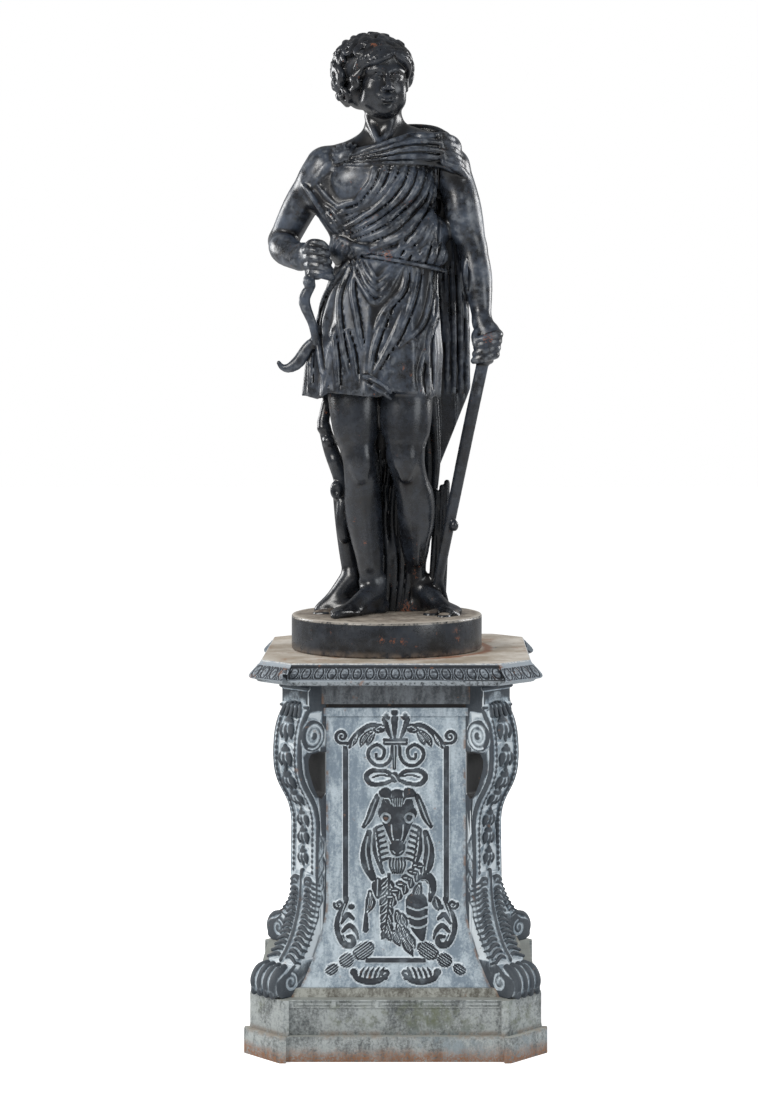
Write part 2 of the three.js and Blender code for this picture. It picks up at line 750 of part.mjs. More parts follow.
function rightArm() {
  const shoulder = at(-146, 8, 1804);
  const elbow = at(-247, 62, 1642);
  const wrist = at(-188, -42, 1622);
  const sleeve = [at(-136, 6, 1822), at(-170, 16, 1784), at(-190, 24, 1752)];
  const pieces = [];
  pieces.push(figureLimb([shoulder, at(-202, 30, 1726), elbow], [46, 41, 34], [46, 41, 34], 9, 6));
  pieces.push(figureLimb([elbow, at(-232, 10, 1634), wrist], [33, 36, 22], [32, 34, 20], 9, 5));
  pieces.push(figureLimb(sleeve, [44, 48, 48], [50, 54, 52], 10, 3));
  pieces.push(figureLump(-170, -64, 1604, 30, 24, 34));
  for (let finger = 0; finger < 4; finger += 1) {
    pieces.push(figureLump(-164 + finger * 2, -84, 1630 - finger * 17, 27, 16, 10));
  }
  pieces.push(figureLump(-186, -84, 1640, 11, 12, 18, -0.4));
  return pieces;
}

function leftArm() {
  const shoulder = at(116, 8, 1804);
  const forearm = [at(158, 8, 1626), at(170, -6, 1560), at(178, -26, 1476)];
  const pieces = [];
  pieces.push(figureLimb([shoulder, at(138, 10, 1716), at(158, 8, 1626)], [46, 40, 32], [50, 44, 34], 9, 6));
  pieces.push(figureLimb(forearm, [32, 34, 20], [34, 35, 18], 9, 6));
  pieces.push(figureLump(190, -42, 1440, 28, 26, 34, 0.2));
  for (let finger = 0; finger < 4; finger += 1) {
    pieces.push(figureLump(190 - finger * 3, -62, 1446 - finger * 15, 26, 15, 9));
  }
  return pieces;
}

function staffAndBow() {
  const pieces = [];
  const staffEnds = [at(186, -50, 1425), at(150, -30, 1250), at(116, -6, 1080), at(84, 30, 925), at(74, 42, 858)];
  pieces.push(figureLimb(staffEnds, [13, 13, 12, 10, 8], [9, 9, 9, 8, 8], 6, 6));
  pieces.push(figureLimb([at(92, 30, 930), at(104, 40, 890), at(112, 44, 858)], [5, 5, 5], [5, 5, 5], 4, 2));
  const upper = [at(-178, -78, 1560), at(-190, -72, 1516), at(-172, -62, 1470), at(-162, -52, 1430)];
  pieces.push(figureLump(-182, -80, 1558, 13, 13, 16));
  pieces.push(figureLimb(upper, [9, 11, 9, 8], [9, 11, 9, 8], 5, 5));
  const tip = [at(-164, -50, 1440), at(-186, -44, 1418), at(-206, -40, 1388), at(-238, -38, 1378), at(-246, -38, 1388)];
  pieces.push(figureLimb(tip, [9, 12, 13, 9, 5], [8, 9, 9, 8, 5], 5, 6));
  return pieces;
}

function stump() {
  const pieces = [];
  const bark = (angle, t) => 1 + 0.1 * Math.cos(5 * angle + 2 * t);
  const trunk = [at(-40, 84, 858), at(-36, 84, 905), at(-34, 84, 1050), at(-34, 84, 1200), at(-30, 76, 1330)];
  pieces.push(figureLimb(trunk, [134, 88, 72, 68, 62], [72, 52, 42, 38, 34], 13, 7, bark));
  const branch = [at(-104, 66, 960), at(-116, 60, 1070), at(-126, 56, 1150), at(-158, 50, 1262)];
  pieces.push(figureLimb(branch, [20, 20, 18, 14], [20, 20, 18, 14], 6, 5, bark));
  pieces.push(figureLump(-128, 48, 1118, 17, 18, 22));
  pieces.push(figureLump(-154, 50, 1246, 17, 14, 16));
  const ground = [at(-8, 54, 857), at(-8, 54, 866), at(-8, 54, 873)];
  const rocky = (angle, t) => 1 + 0.05 * Math.cos(7 * angle + t);
  pieces.push(figureLimb(ground, [158, 144, 110], [118, 108, 84], 16, 2, rocky));
  pieces.push(figureLimb([at(86, 50, 858), at(96, 48, 960), at(102, 46, 1136)], [24, 16, 12], [12, 10, 9], 6, 3));
  const rocks = [at(132, 6, 868), at(150, -30, 866), at(96, 84, 870), at(-146, 30, 868)];
  for (const rock of rocks) {
    pieces.push(lump(rock.x, rock.y, rock.z, 24 * unit, 26 * unit, 18 * unit));
  }
  return pieces;
}

function head() {
  const pieces = [];
  const turn = 0.24;
  const middle = at(-35, -14, 1986);
  const ball = (side, front, up, a, b, c, fine) => {
    const cosine = Math.cos(turn);
    const sine = Math.sin(turn);
    const form = fine ? new THREE.SphereGeometry(1, 10, 7) : new THREE.IcosahedronGeometry(1, 0);
    form.scale(a * unit, b * unit, c * unit);
    form.rotateZ(turn);
    const x = middle.x + (side * cosine + front * sine) * unit;
    const y = middle.y + (side * sine - front * cosine) * unit;
    form.translate(x, y, middle.z + up * unit);
    pieces.push(solid(form));
  };
  ball(0, -8, 18, 58, 68, 62, true);
  ball(0, 12, -22, 48, 50, 60, true);
  ball(0, 46, -62, 20, 16, 18, false);
  ball(0, 64, -16, 10, 14, 20, false);
  ball(-20, 52, 6, 20, 10, 7, false);
  ball(20, 52, 6, 20, 10, 7, false);
  ball(0, 56, -44, 16, 10, 8, false);
  const curls = 34;
  for (let curl = 0; curl < curls; curl += 1) {
    const up = 1 - (1.45 * (curl + 0.5)) / curls;
    const around = curl * 2.39996;
    const out = Math.sqrt(1 - up * up);
    const side = Math.cos(around) * out;
    const front = Math.sin(around) * out;
    if (front > 0.3 && up < 0.55) {
      continue;
    }
    ball(side * 66 - 14, front * 64 - 10, 16 + up * 60, 30, 28, 25, false);
  }
  const neck = [at(-24, 12, 1840), at(-27, 4, 1890), at(-32, -4, 1950)];
  pieces.push(figureLimb(neck, [56, 42, 42], [48, 42, 44], 9, 3));
  return pieces;
}

function disc() {
  const profile = [];
  profile.push(new THREE.Vector2(0, capTop + clearance));
  profile.push(new THREE.Vector2(discRadius, capTop + clearance));
  profile.push(new THREE.Vector2(discRadius, discTop - discChamfer));
  profile.push(new THREE.Vector2(discRadius - discChamfer, discTop));
  profile.push(new THREE.Vector2(0, discTop));
  const lathe = new THREE.LatheGeometry(profile, 36);
  lathe.rotateX(Math.PI / 2);
  lathe.translate(discOffset, 0, 0);
  return solid(lathe);
}

const figure = [
  torso(),
  shoulders(),
  skirt(),
  cloakBack(),
  belt(),
  ...shoulderRolls(),
  ...chestFolds(),
  ...skirtFestoons(),
  ...legs(),
  ...rightArm(),
  ...leftArm(),
  ...staffAndBow(),
  ...stump(),
  ...head(),
];
const statue = outerShell(settled(joined([disc(), ...figure]), figureFacet));

const part = new THREE.Group();
part.add(node("plinth_lower", lowerFrame, iron.base));
part.add(node("plinth_upper", upperFrame, iron.base));
part.add(node("panel_front", plate, iron.pedestal));
part.add(node("panel_right", plate.rotate([0, 0, 90]), iron.pedestal));
part.add(node("panel_back", plate.rotate([0, 0, 180]), iron.pedestal));
part.add(node("panel_left", plate.rotate([0, 0, 270]), iron.pedestal));
part.add(node("console_back_right", bracket.rotate([0, 0, bracketTurn]), iron.carved));
part.add(node("console_back_left", bracket.rotate([0, 0, bracketTurn + 90]), iron.carved));
part.add(node("console_front_left", bracket.rotate([0, 0, bracketTurn + 180]), iron.carved));
part.add(node("console_front_right", bracket.rotate([0, 0, bracketTurn + 270]), iron.carved));
part.add(node("cap", cap, iron.cap));
part.add(node("statue", statue, iron.statue));

export default part;
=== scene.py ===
import math

import bpy
import numpy as np
from mathutils import Matrix, Vector


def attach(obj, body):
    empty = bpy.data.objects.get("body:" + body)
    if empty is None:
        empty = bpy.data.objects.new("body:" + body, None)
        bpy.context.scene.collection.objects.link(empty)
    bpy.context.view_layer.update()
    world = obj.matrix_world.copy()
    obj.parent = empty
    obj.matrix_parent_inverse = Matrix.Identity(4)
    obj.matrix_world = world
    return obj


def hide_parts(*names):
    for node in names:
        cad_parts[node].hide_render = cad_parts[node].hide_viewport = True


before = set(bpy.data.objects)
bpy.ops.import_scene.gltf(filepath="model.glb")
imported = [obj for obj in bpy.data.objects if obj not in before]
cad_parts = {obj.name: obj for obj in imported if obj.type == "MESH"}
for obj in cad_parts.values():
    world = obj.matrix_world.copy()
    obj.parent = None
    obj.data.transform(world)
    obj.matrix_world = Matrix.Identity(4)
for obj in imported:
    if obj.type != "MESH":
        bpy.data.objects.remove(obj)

bl_info = {
    "name": "Cast iron garden statue",
    "version": (1, 0, 0),
    "blender": (4, 5, 0),
    "location": "3D View > Sidebar > Statue",
    "description": "Builds the figure, the pedestal castings and the studio",
    "category": "Object",
}

MM = 0.001
BASE_TOP = 121.0
BODY_HEIGHT = 621.0
CAP_HEIGHT = 46.0
DISC_HEIGHT = 73.0
DISC_RADIUS = 200.0
DISC_CENTRE = -22.0
FACE = 198.0
FLARE_HEIGHT = 179.0
FLARE_DEPTH = 58.0
PLATE = 12.0
BRACKET_HALF = 40.0
GAP = 0.3
CAP_BOTTOM = BASE_TOP + BODY_HEIGHT
CAP_TOP = CAP_BOTTOM + CAP_HEIGHT
DISC_TOP = CAP_TOP + DISC_HEIGHT
SEEN_FROM = (69.0, -5055.0, 1373.0)
LENS_PIXELS = 2400.0
PICTURE_CENTRE = (430.0, 370.0)


# Curves and forms

def smooth_path(points, steps):
    """A Catmull-Rom curve through points, of any number of coordinates."""
    p = np.asarray(points, float)
    if len(p) < 3:
        t = np.linspace(0, 1, max(2, steps))[:, None]
        return p[0] * (1 - t) + p[-1] * t
    p = np.vstack([2 * p[0] - p[1], p, 2 * p[-1] - p[-2]])
    out = []
    spans = len(p) - 3
    for t in np.linspace(0, spans, steps):
        i = min(int(t), spans - 1)
        u = t - i
        a, b, c, d = p[i:i + 4]
        out.append(0.5 * (2 * b + (c - a) * u + (2 * a - 5 * b + 4 * c - d) * u * u
                          + (3 * b - a - 3 * c + d) * u ** 3))
    return np.array(out)


class Clay:
    """Distances in millimetres on a regular grid, below zero inside the iron."""

    def __init__(self, low, high, cell):
        self.low = np.array(low, float)
        self.cell = cell
        self.count = np.ceil((np.array(high) - self.low) / cell).astype(int) + 1
        self.d = np.full(self.count, 40.0, np.float32)
        self.axes = [(self.low[i] + cell * np.arange(self.count[i])).astype(np.float32) for i in range(3)]

    def window(self, low, high, pad):
        cuts = []
        for i in range(3):
            first = int(math.floor((low[i] - pad - self.low[i]) / self.cell))
            last = int(math.ceil((high[i] + pad - self.low[i]) / self.cell)) + 1
            cuts.append(slice(min(max(first, 0), self.count[i]), max(min(last, self.count[i]), 0)))
        x = self.axes[0][cuts[0]][:, None, None]
        y = self.axes[1][cuts[1]][None, :, None]
        z = self.axes[2][cuts[2]][None, None, :]
        return tuple(cuts), x, y, z

    def put(self, cuts, d, soft, cut=False):
        old = self.d[cuts]
        if old.size == 0:
            return
        if cut:
            d = -d
        soft = max(soft, 0.01)
        h = np.maximum(soft - np.abs(old - d), 0) / soft
        if cut:
            self.d[cuts] = np.maximum(old, d) + h * h * soft * 0.25
        else:
            self.d[cuts] = np.minimum(old, d) - h * h * soft * 0.25

    def oval(self, centre, radii, soft=8.0, cut=False, axes=None):
        r = np.array(radii, float)
        c = np.array(centre, float)
        reach = r if axes is None else np.abs(axes) @ r
        cuts, x, y, z = self.window(c - reach, c + reach, max(soft, 8.0) + 4.0)
        p = (x - c[0], y - c[1], z - c[2])
        if axes is not None:
            p = [axes[0, i] * p[0] + axes[1, i] * p[1] + axes[2, i] * p[2] for i in range(3)]
        n = np.sqrt((p[0] / r[0]) ** 2 + (p[1] / r[1]) ** 2 + (p[2] / r[2]) ** 2)
        m = np.sqrt((p[0] / r[0] ** 2) ** 2 + (p[1] / r[1] ** 2) ** 2 + (p[2] / r[2] ** 2) ** 2)
        self.put(cuts, (n * (n - 1) / np.maximum(m, 1e-5)).astype(np.float32), soft, cut)

    def chain(self, points, radii, soft=4.0, cut=False, steps=None, flat=None):
        """A rod along a curve; flat = (direction, share) squashes its section."""
        radii = np.atleast_1d(np.asarray(radii, float))
        steps = steps or 3 * len(points)
        spread = np.interp(np.linspace(0, 1, len(points)), np.linspace(0, 1, len(radii)), radii)
        path = smooth_path(np.column_stack([np.asarray(points, float), spread]), steps)
        p, r = path[:, :3], path[:, 3]
        pad = max(soft, 6.0) + r.max() + 2.0
        cuts, x, y, z = self.window(p.min(0), p.max(0), pad)
        best = None
        if flat is not None:
            n = np.array(flat[0], float)
            n /= np.linalg.norm(n)
            k = 1.0 / flat[1] - 1.0
        for a, b, ra, rb in zip(p[:-1], p[1:], r[:-1], r[1:]):
            ab = b - a
            length = max(float(ab @ ab), 1e-6)
            q = (x - a[0], y - a[1], z - a[2])
            t = np.clip((q[0] * ab[0] + q[1] * ab[1] + q[2] * ab[2]) / length, 0, 1)
            e = [q[i] - t * ab[i] for i in range(3)]
            if flat is not None:
                s = (e[0] * n[0] + e[1] * n[1] + e[2] * n[2]) * k
                e = [e[i] + s * n[i] for i in range(3)]
            d = np.sqrt(e[0] ** 2 + e[1] ** 2 + e[2] ** 2) - (ra + (rb - ra) * t)
            best = d if best is None else np.minimum(best, d)
        self.put(cuts, best.astype(np.float32), soft, cut)

    def depth(self, side):
        """Y of the first surface met from the front (side -1) or from the back (side 1)."""
        inside = self.d < 0
        if side > 0:
            inside = inside[:, ::-1]
        first = inside.argmax(axis=1)
        hit = inside.any(axis=1)
        if side > 0:
            first = self.count[1] - 1 - first
        y = self.axes[1][first].astype(float)
        y[~hit] = np.nan
        return y

    def pinches_filled(self):
        """Fills the few corners where two skins would share an edge."""
        d = self.d
        for _ in range(6):
            changed = 0
            for u, v in ((0, 1), (1, 2), (0, 2)):
                def part(du, dv):
                    cut = [slice(None)] * 3
                    cut[u] = slice(1, None) if du else slice(None, -1)
                    cut[v] = slice(1, None) if dv else slice(None, -1)
                    return d[tuple(cut)]
                a, b, c, e = part(0, 0), part(1, 0), part(1, 1), part(0, 1)
                one = (a < 0) & (c < 0) & (b >= 0) & (e >= 0)
                two = (b < 0) & (e < 0) & (a >= 0) & (c >= 0)
                b[one] = -0.1 * self.cell
                a[two] = -0.1 * self.cell
                changed += int(one.sum() + two.sum())
            if not changed:
                break

    def skin(self):
        """Points and quads of the surface, facing out."""
        self.d[0], self.d[-1], self.d[:, 0], self.d[:, -1], self.d[:, :, 0], self.d[:, :, -1] = (9.0,) * 6
        self.pinches_filled()
        d = self.d
        inside = d < 0
        corners = [(a, b, c) for a in (0, 1) for b in (0, 1) for c in (0, 1)]
        size = np.array(d.shape) - 1

        def shifted(array, corner):
            return array[tuple(slice(o, o + s) for o, s in zip(corner, size))]

        total = np.zeros(size, np.uint8)
        for corner in corners:
            total += shifted(inside, corner)
        active = (total > 0) & (total < 8)
        cells = np.argwhere(active)
        index = np.full(size, -1, np.int32)
        index[active] = np.arange(len(cells), dtype=np.int32)
        value = {c: d[cells[:, 0] + c[0], cells[:, 1] + c[1], cells[:, 2] + c[2]] for c in corners}
        place = np.zeros((len(cells), 3))
        hits = np.zeros(len(cells))
        for a in corners:
            for axis in range(3):
                if a[axis]:
                    continue
                b = tuple(1 if i == axis else a[i] for i in range(3))
                va, vb = value[a], value[b]
                cross = (va < 0) != (vb < 0)
                t = va[cross] / (va[cross] - vb[cross])
                at = np.tile(np.array(a, float), (len(t), 1))
                at[:, axis] += t
                place[cross] += at
                hits[cross] += 1
        points = self.low + self.cell * (cells + place / hits[:, None])
        quads = []
        for axis in range(3):
            u, v = (axis + 1) % 3, (axis + 2) % 3
            low = [slice(1, s) for s in size]
            low[axis] = slice(0, size[axis])
            high = list(low)
            high[axis] = slice(1, size[axis] + 1)
            a, b = inside[tuple(low)], inside[tuple(high)]
            at = np.argwhere(a != b) + np.array([s.start for s in low])
            out = a[a != b]
            step_u, step_v = np.eye(3, dtype=int)[u], np.eye(3, dtype=int)[v]
            ring = [index[tuple((at - o).T)] for o in (step_u + step_v, step_v, 0 * step_u, step_u)]
            quad = np.column_stack(ring)
            quad[~out] = quad[~out][:, ::-1]
            quads.append(quad)
        return points, np.vstack(quads)


def mesh_object(name, points, faces):
    """A mesh object from arrays of points in millimetres and of faces."""
    mesh = bpy.data.meshes.new(name)
    faces = np.asarray(faces, np.int32)
    mesh.vertices.add(len(points))
    mesh.vertices.foreach_set("co", (np.asarray(points) * MM).astype(np.float32).ravel())
    mesh.loops.add(faces.size)
    mesh.loops.foreach_set("vertex_index", faces.ravel())
    mesh.polygons.add(len(faces))
    mesh.polygons.foreach_set("loop_start", np.arange(0, faces.size, faces.shape[1], dtype=np.int32))
    mesh.update(calc_edges=True)
    made = bpy.data.objects.new(name, mesh)
    bpy.context.collection.objects.link(made)
    return made


def only(obj):
    bpy.ops.object.select_all(action="DESELECT")
    obj.select_set(True)
    bpy.context.view_layer.objects.active = obj


def applied(obj, kind, **values):
    only(obj)
    modifier = obj.modifiers.new(kind.title(), kind)
    for key, value in values.items():
        setattr(modifier, key, value)
    bpy.ops.object.modifier_apply(modifier=modifier.name)


def thinned(obj, triangles):
    """Brings the mesh down to about a number of triangles."""
    count = sum(len(p.vertices) - 2 for p in obj.data.polygons)
    if count > triangles:
        applied(obj, "DECIMATE", ratio=triangles / count)


def smooth_shaded(obj, degrees=60.0):
    only(obj)
    bpy.ops.object.shade_smooth_by_angle(angle=math.radians(degrees))


def mark_hollows(obj, fine_rounds=3, broad_rounds=22):
    """Stores how far each vertex lies under its surroundings, in millimetres."""
    mesh = obj.data
    n = len(mesh.vertices)
    co = np.empty(n * 3, np.float32)
    mesh.vertices.foreach_get("co", co)
    co = co.reshape(-1, 3) / MM
    normal = np.empty(n * 3, np.float32)
    mesh.vertices.foreach_get("normal", normal)
    normal = normal.reshape(-1, 3)
    edges = np.empty(len(mesh.edges) * 2, np.int32)
    mesh.edges.foreach_get("vertices", edges)
    a, b = edges.reshape(-1, 2).T
    ends, starts = np.concatenate([a, b]), np.concatenate([b, a])
    share = 1.0 / np.maximum(np.bincount(ends, minlength=n), 1)
    p = co.copy()
    kept = {}
    for turn in range(1, broad_rounds + 1):
        p = np.column_stack([np.bincount(ends, p[starts, i], n) * share for i in range(3)])
        if turn in (fine_rounds, broad_rounds):
            kept[turn] = np.einsum("ij,ij->i", p - co, normal)
    for name, turn in (("hollow_fine", fine_rounds), ("hollow_broad", broad_rounds)):
        layer = mesh.attributes.new(name, "FLOAT", "POINT")
        layer.data.foreach_set("value", kept[turn].astype(np.float32))


def finish_piece(obj, material, node):
    obj.data.materials.clear()
    obj.data.materials.append(material)
    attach(obj, "root")
    for name in node if isinstance(node, (list, tuple)) else [node]:
        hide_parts(name)


# Figure

def in_view(px, py, depth):
    """The point at a depth that the view shows at a place of its 758 by 1100 picture."""
    far = (depth - SEEN_FROM[1]) / LENS_PIXELS
    x = SEEN_FROM[0] + (px - PICTURE_CENTRE[0]) * far
    return x, SEEN_FROM[2] - (py - PICTURE_CENTRE[1]) * far


class Drapery:
    """Folds laid on the cloth that is already modelled."""

    def __init__(self, clay, side=-1):
        self.clay = clay
        self.side = side
        self.map = clay.depth(side)

    def y_at(self, x, z):
        c = self.clay
        i = int(np.clip(round((x - c.low[0]) / c.cell), 1, c.count[0] - 2))
        k = int(np.clip(round((z - c.low[2]) / c.cell), 1, c.count[2] - 2))
        near = self.map[i - 1:i + 2, k - 1:k + 2]
        return float(np.nanmean(near)) if np.isfinite(near).all() else None

    def runs(self, line, depth):
        """The line laid on the surface, broken where the surface ends or jumps."""
        spots = smooth_path([in_view(px, py, depth) for px, py in line], 6 * len(line))
        runs, run = [], []
        for x, z in spots:
            y = self.y_at(x, z)
            if y is None or (run and abs(y - run[-1][1]) > 14.0):
                runs.append(run)
                run = []
            if y is not None:
                run.append((x, y, z))
        runs.append(run)
        return [np.array(r) for r in runs if len(r) > 4]

    def fold(self, line, width, rise, soft=2.5, cut=False, depth=-90.0, taper=(0.5, 0.85, 1, 1, 0.85, 0.5)):
        for place in self.runs(line, depth):
            y = place[:, 1]
            for _ in range(2):
                y[1:-1] = (y[:-2] + y[1:-1] + y[2:]) / 3
            place[:, 1] -= self.side * (width - rise)
            self.clay.chain(place, width * np.array(taper), soft, cut, steps=len(place))

    def crease(self, line, width=7.0, rise=7.0, shift=4.2, depth=-90.0):
        """A fold with a sharp hollow beside it."""
        self.fold([(px + shift, py + 0.4) for px, py in line], width * 0.55, 1.0, 2.0, True, depth)
        self.fold(line, width, rise, depth=depth)

    def fan(self, first, last, count, width, rise, seed=1, dig=None, taper=(0.5, 0.85, 1, 1, 0.85, 0.5)):
        """Folds that pass by degrees from one line to another, with hollows between."""
        random = np.random.default_rng(seed)
        a, b = smooth_path(first, 7), smooth_path(last, 7)
        for i in range(count):
            t = i / max(count - 1, 1)
            line = a * (1 - t) + b * t
            line[1:-1] += random.normal(0, 0.6, (5, 2))
            size = random.uniform(0.85, 1.2)
            self.fold(line, width * size, rise * size, taper=taper)
        for i in range(count - 1):
            t = (i + 0.5) / (count - 1)
            self.fold(a * (1 - t) + b * t, width * 0.42, 0.2 * width if dig is None else dig, 1.5, True, taper=taper)


def cone_cloth(clay, low, high, middle, half, folds, soft, inner=0.0, hem=None):
    """Hanging cloth: an oval section that changes with height, with pleats."""
    top, bottom = high[2], low[2]
    cuts, x, y, z = clay.window(low, high, 6.0)
    t = np.clip((top - z) / (top - bottom), 0, 1)
    cx, cy = middle(t)
    a, b = half(t, x)
    px, py = (x - cx), (y - cy)
    angle = np.arctan2(py / b, px / a)
    rho = np.sqrt((px / a) ** 2 + (py / b) ** 2)
    slope = np.sqrt((px / a ** 2) ** 2 + (py / b ** 2) ** 2)
    d = (rho - 1) * rho / np.maximum(slope, 1e-4) - folds(angle, t)
    floor = (bottom - z) if hem is None else (hem(x) - z)
    d = np.maximum(np.maximum(d, floor), z - top)
    clay.put(cuts, d.astype(np.float32), soft)
    if inner:
        edge = bottom + 34.0
        hole = np.maximum(d + inner, z - edge)
        hole = np.maximum(hole, -(z - bottom + 12.0))
        inside = (rho - 1) * rho / np.maximum(slope, 1e-4) - folds(angle, t) + inner
        hole = np.maximum(inside, z - edge)
        clay.put(cuts, (hole + 0 * d).astype(np.float32), 1.0, cut=True)


def pleats(rows):
    """Sharp-crested folds round the cloth: rows of angle, drift, width and height."""
    def folds(angle, t):
        total = 0.0
        for at, drift, width, height in rows:
            off = np.angle(np.exp(1j * (angle - at - drift * t)))
            total = total + height * (0.25 + 0.75 * t) * np.exp(-(off / width) ** 2)
        return total
    return folds


def random_pleats(seed, count, start, end, height):
    random = np.random.default_rng(seed)
    rows = []
    for i in range(count):
        at = start + (end - start) * (i + random.uniform(0.2, 0.8)) / count
        gap = abs(end - start) / count
        rows.append((at, random.uniform(-0.5, 0.5) * gap, gap * random.uniform(0.22, 0.4),
                     height * random.uniform(0.6, 1.2)))
    return rows


def model_torso(clay):
    oval, chain = clay.oval, clay.chain
    oval((-20, 0, 1760), (104, 78, 92), 10)
    oval((-8, -4, 1660), (116, 86, 66), 24)
    oval((-8, 0, 1612), (112, 84, 36), 12)
    chain([(-140, 8, 1802), (-88, 10, 1824), (-26, 12, 1838), (60, 10, 1836), (112, 8, 1802)],
          [42, 36, 40, 42, 40], 14, steps=10)
    chain([(-24, 14, 1822), (-27, 6, 1880), (-32, 0, 1940)], [46, 39, 39], 14)
    chain([(-30, 14, 1888), (-84, 14, 1838)], [24, 16], 20)
    chain([(-24, 14, 1888), (52, 14, 1850)], [24, 18], 20)
    chain([(-8, -18, 1908), (-20, -32, 1870), (-32, -44, 1848)], [7, 8, 6], 10)
    chain([(-60, -10, 1905), (-46, -34, 1866), (-38, -44, 1848)], [7, 7, 6], 10)
    oval((-84, -32, 1768), (54, 34, 46), 30)
    oval((-112, -15, 1698), (38, 40, 56), 20)
    oval((-110, -18, 1626), (34, 42, 38), 16)
    # Cloak's mass across the neckline and the blouse over the belt.
    chain([(-106, -26, 1820), (-60, -44, 1824), (0, -52, 1830), (60, -46, 1836), (106, -14, 1838)],
          [13, 18, 24, 29, 30], 8, steps=12)
    oval((68, -30, 1614), (38, 44, 26), 18)
    oval((-70, -44, 1620), (36, 36, 22), 12)
    # Sleeve draped over the raised upper arm.
    chain([(-150, 6, 1800), (-172, 8, 1768), (-170, 4, 1742)], [45, 40, 35], 8)
    chain([(-148, 4, 1772), (-134, 0, 1722), (-104, -2, 1664)], [43, 42, 35], 10)


def model_limbs(clay):
    oval, chain = clay.oval, clay.chain
    chain([(-150, 8, 1798), (-202, 30, 1726), (-244, 60, 1648)], [40, 37, 31], 8, steps=10)
    chain([(-244, 60, 1648), (-236, 18, 1628), (-202, -32, 1606)], [30, 33, 26], 8, steps=10)
    chain([(112, 8, 1800), (139, 10, 1716), (158, 8, 1630)], [40, 38, 30], 8, steps=10)
    oval((134, -6, 1700), (30, 30, 60), 20)
    chain([(158, 8, 1630), (169, -4, 1566), (176, -18, 1500), (178, -28, 1470)], [31, 31, 22, 19], 8, steps=12)
    right = [(-92, 0, 1400), (-91, -6, 1320), (-86, -16, 1246), (-77, -22, 1186), (-72, 0, 1109), (-67, 10, 1041),
             (-59, 10, 985), (-54, 8, 931), (-49, 8, 893)]
    left = [(24, -4, 1400), (21, -18, 1326), (18, -34, 1246), (18, -40, 1192), (26, -24, 1150), (36, -4, 1105),
            (38, 14, 1055), (39, 32, 1000), (38, 44, 962), (41, 52, 925), (47, 55, 893)]
    chain(right, [60, 55, 47, 37, 38, 36, 30, 24, 23], 8, steps=32)
    chain(left, [60, 56, 49, 40, 36, 38, 37, 29, 23, 21, 22], 8, steps=36)
    oval((-84, -30, 1290), (42, 36, 84), 26)
    oval((20, -44, 1290), (42, 36, 84), 26)
    for x, y in ((-75, -50), (18, -70)):
        oval((x, y, 1184), (20, 12, 24), 16)
        oval((x, y + 2, 1152), (11, 8, 12), 14)
        oval((x, y + 26, 1218), (34, 12, 10), 22, True)
    oval((-80, 26, 1092), (26, 30, 64), 22)
    oval((48, 18, 1086), (26, 30, 62), 22)
    chain([(-69, -32, 1120), (-63, -24, 1040), (-57, -14, 960)], [8, 7, 6], 14)
    chain([(36, -36, 1110), (38, -16, 1040), (39, 12, 965)], [8, 7, 6], 14)
    for x, y, z in ((-72, 8, 922), (-30, 6, 930), (24, 52, 934), (64, 50, 928)):
        oval((x, y, z), (8, 11, 12), 10)


def model_foot(clay, heel, toe, mirror):
    """A bare foot from the heel to the toes."""
    heel, toe = np.array(heel, float), np.array(toe, float)
    along = (toe - heel)[:2]
    length = np.linalg.norm(along)
    along /= length
    aside = np.array([-along[1], along[0]]) * mirror

    def spot(far, off, up):
        xy = heel[:2] + along * far * length + aside * off
        return (xy[0], xy[1], DISC_TOP + up)

    axes = np.array([[along[0], aside[0], 0], [along[1], aside[1], 0], [0, 0, 1.0]])
    clay.oval(spot(0.03, 0, 14), (24, 21, 20), 8, axes=axes)
    clay.chain([spot(0.10, 0, 46), spot(0.30, -2, 32), spot(0.52, -3, 17), spot(0.74, -2, 8)], [23, 22, 18, 11], 12)
    clay.oval(spot(0.36, 4, 10), (44, 24, 13), 10, axes=axes)
    clay.oval(spot(0.66, 0, 8), (34, 31, 11), 12, axes=axes)
    for i in range(5):
        off = -23 + 11.6 * i
        size = 9.0 if i == 0 else 6.4 - 0.3 * i
        reach = 1.0 - 0.010 * i - 0.022 * i * i
        clay.chain([spot(0.74, off * 0.95, 9), spot(reach - 0.08, off, 11 if i else 10), spot(reach, off, size * 0.75)],
                   [size * 0.9, size * 0.95, size * 0.9], 1.6, steps=7)
        clay.oval(spot(reach - 0.005, off, size * 1.55), (size * 0.5, size * 0.55, 1.6), 0.8, axes=axes)
    for i in range(4):
        off = -17 + 11.0 * i
        clay.chain([spot(0.46, off * 0.5, 24), spot(0.74, off, 14)], [2.6, 2.0], 5, steps=4)


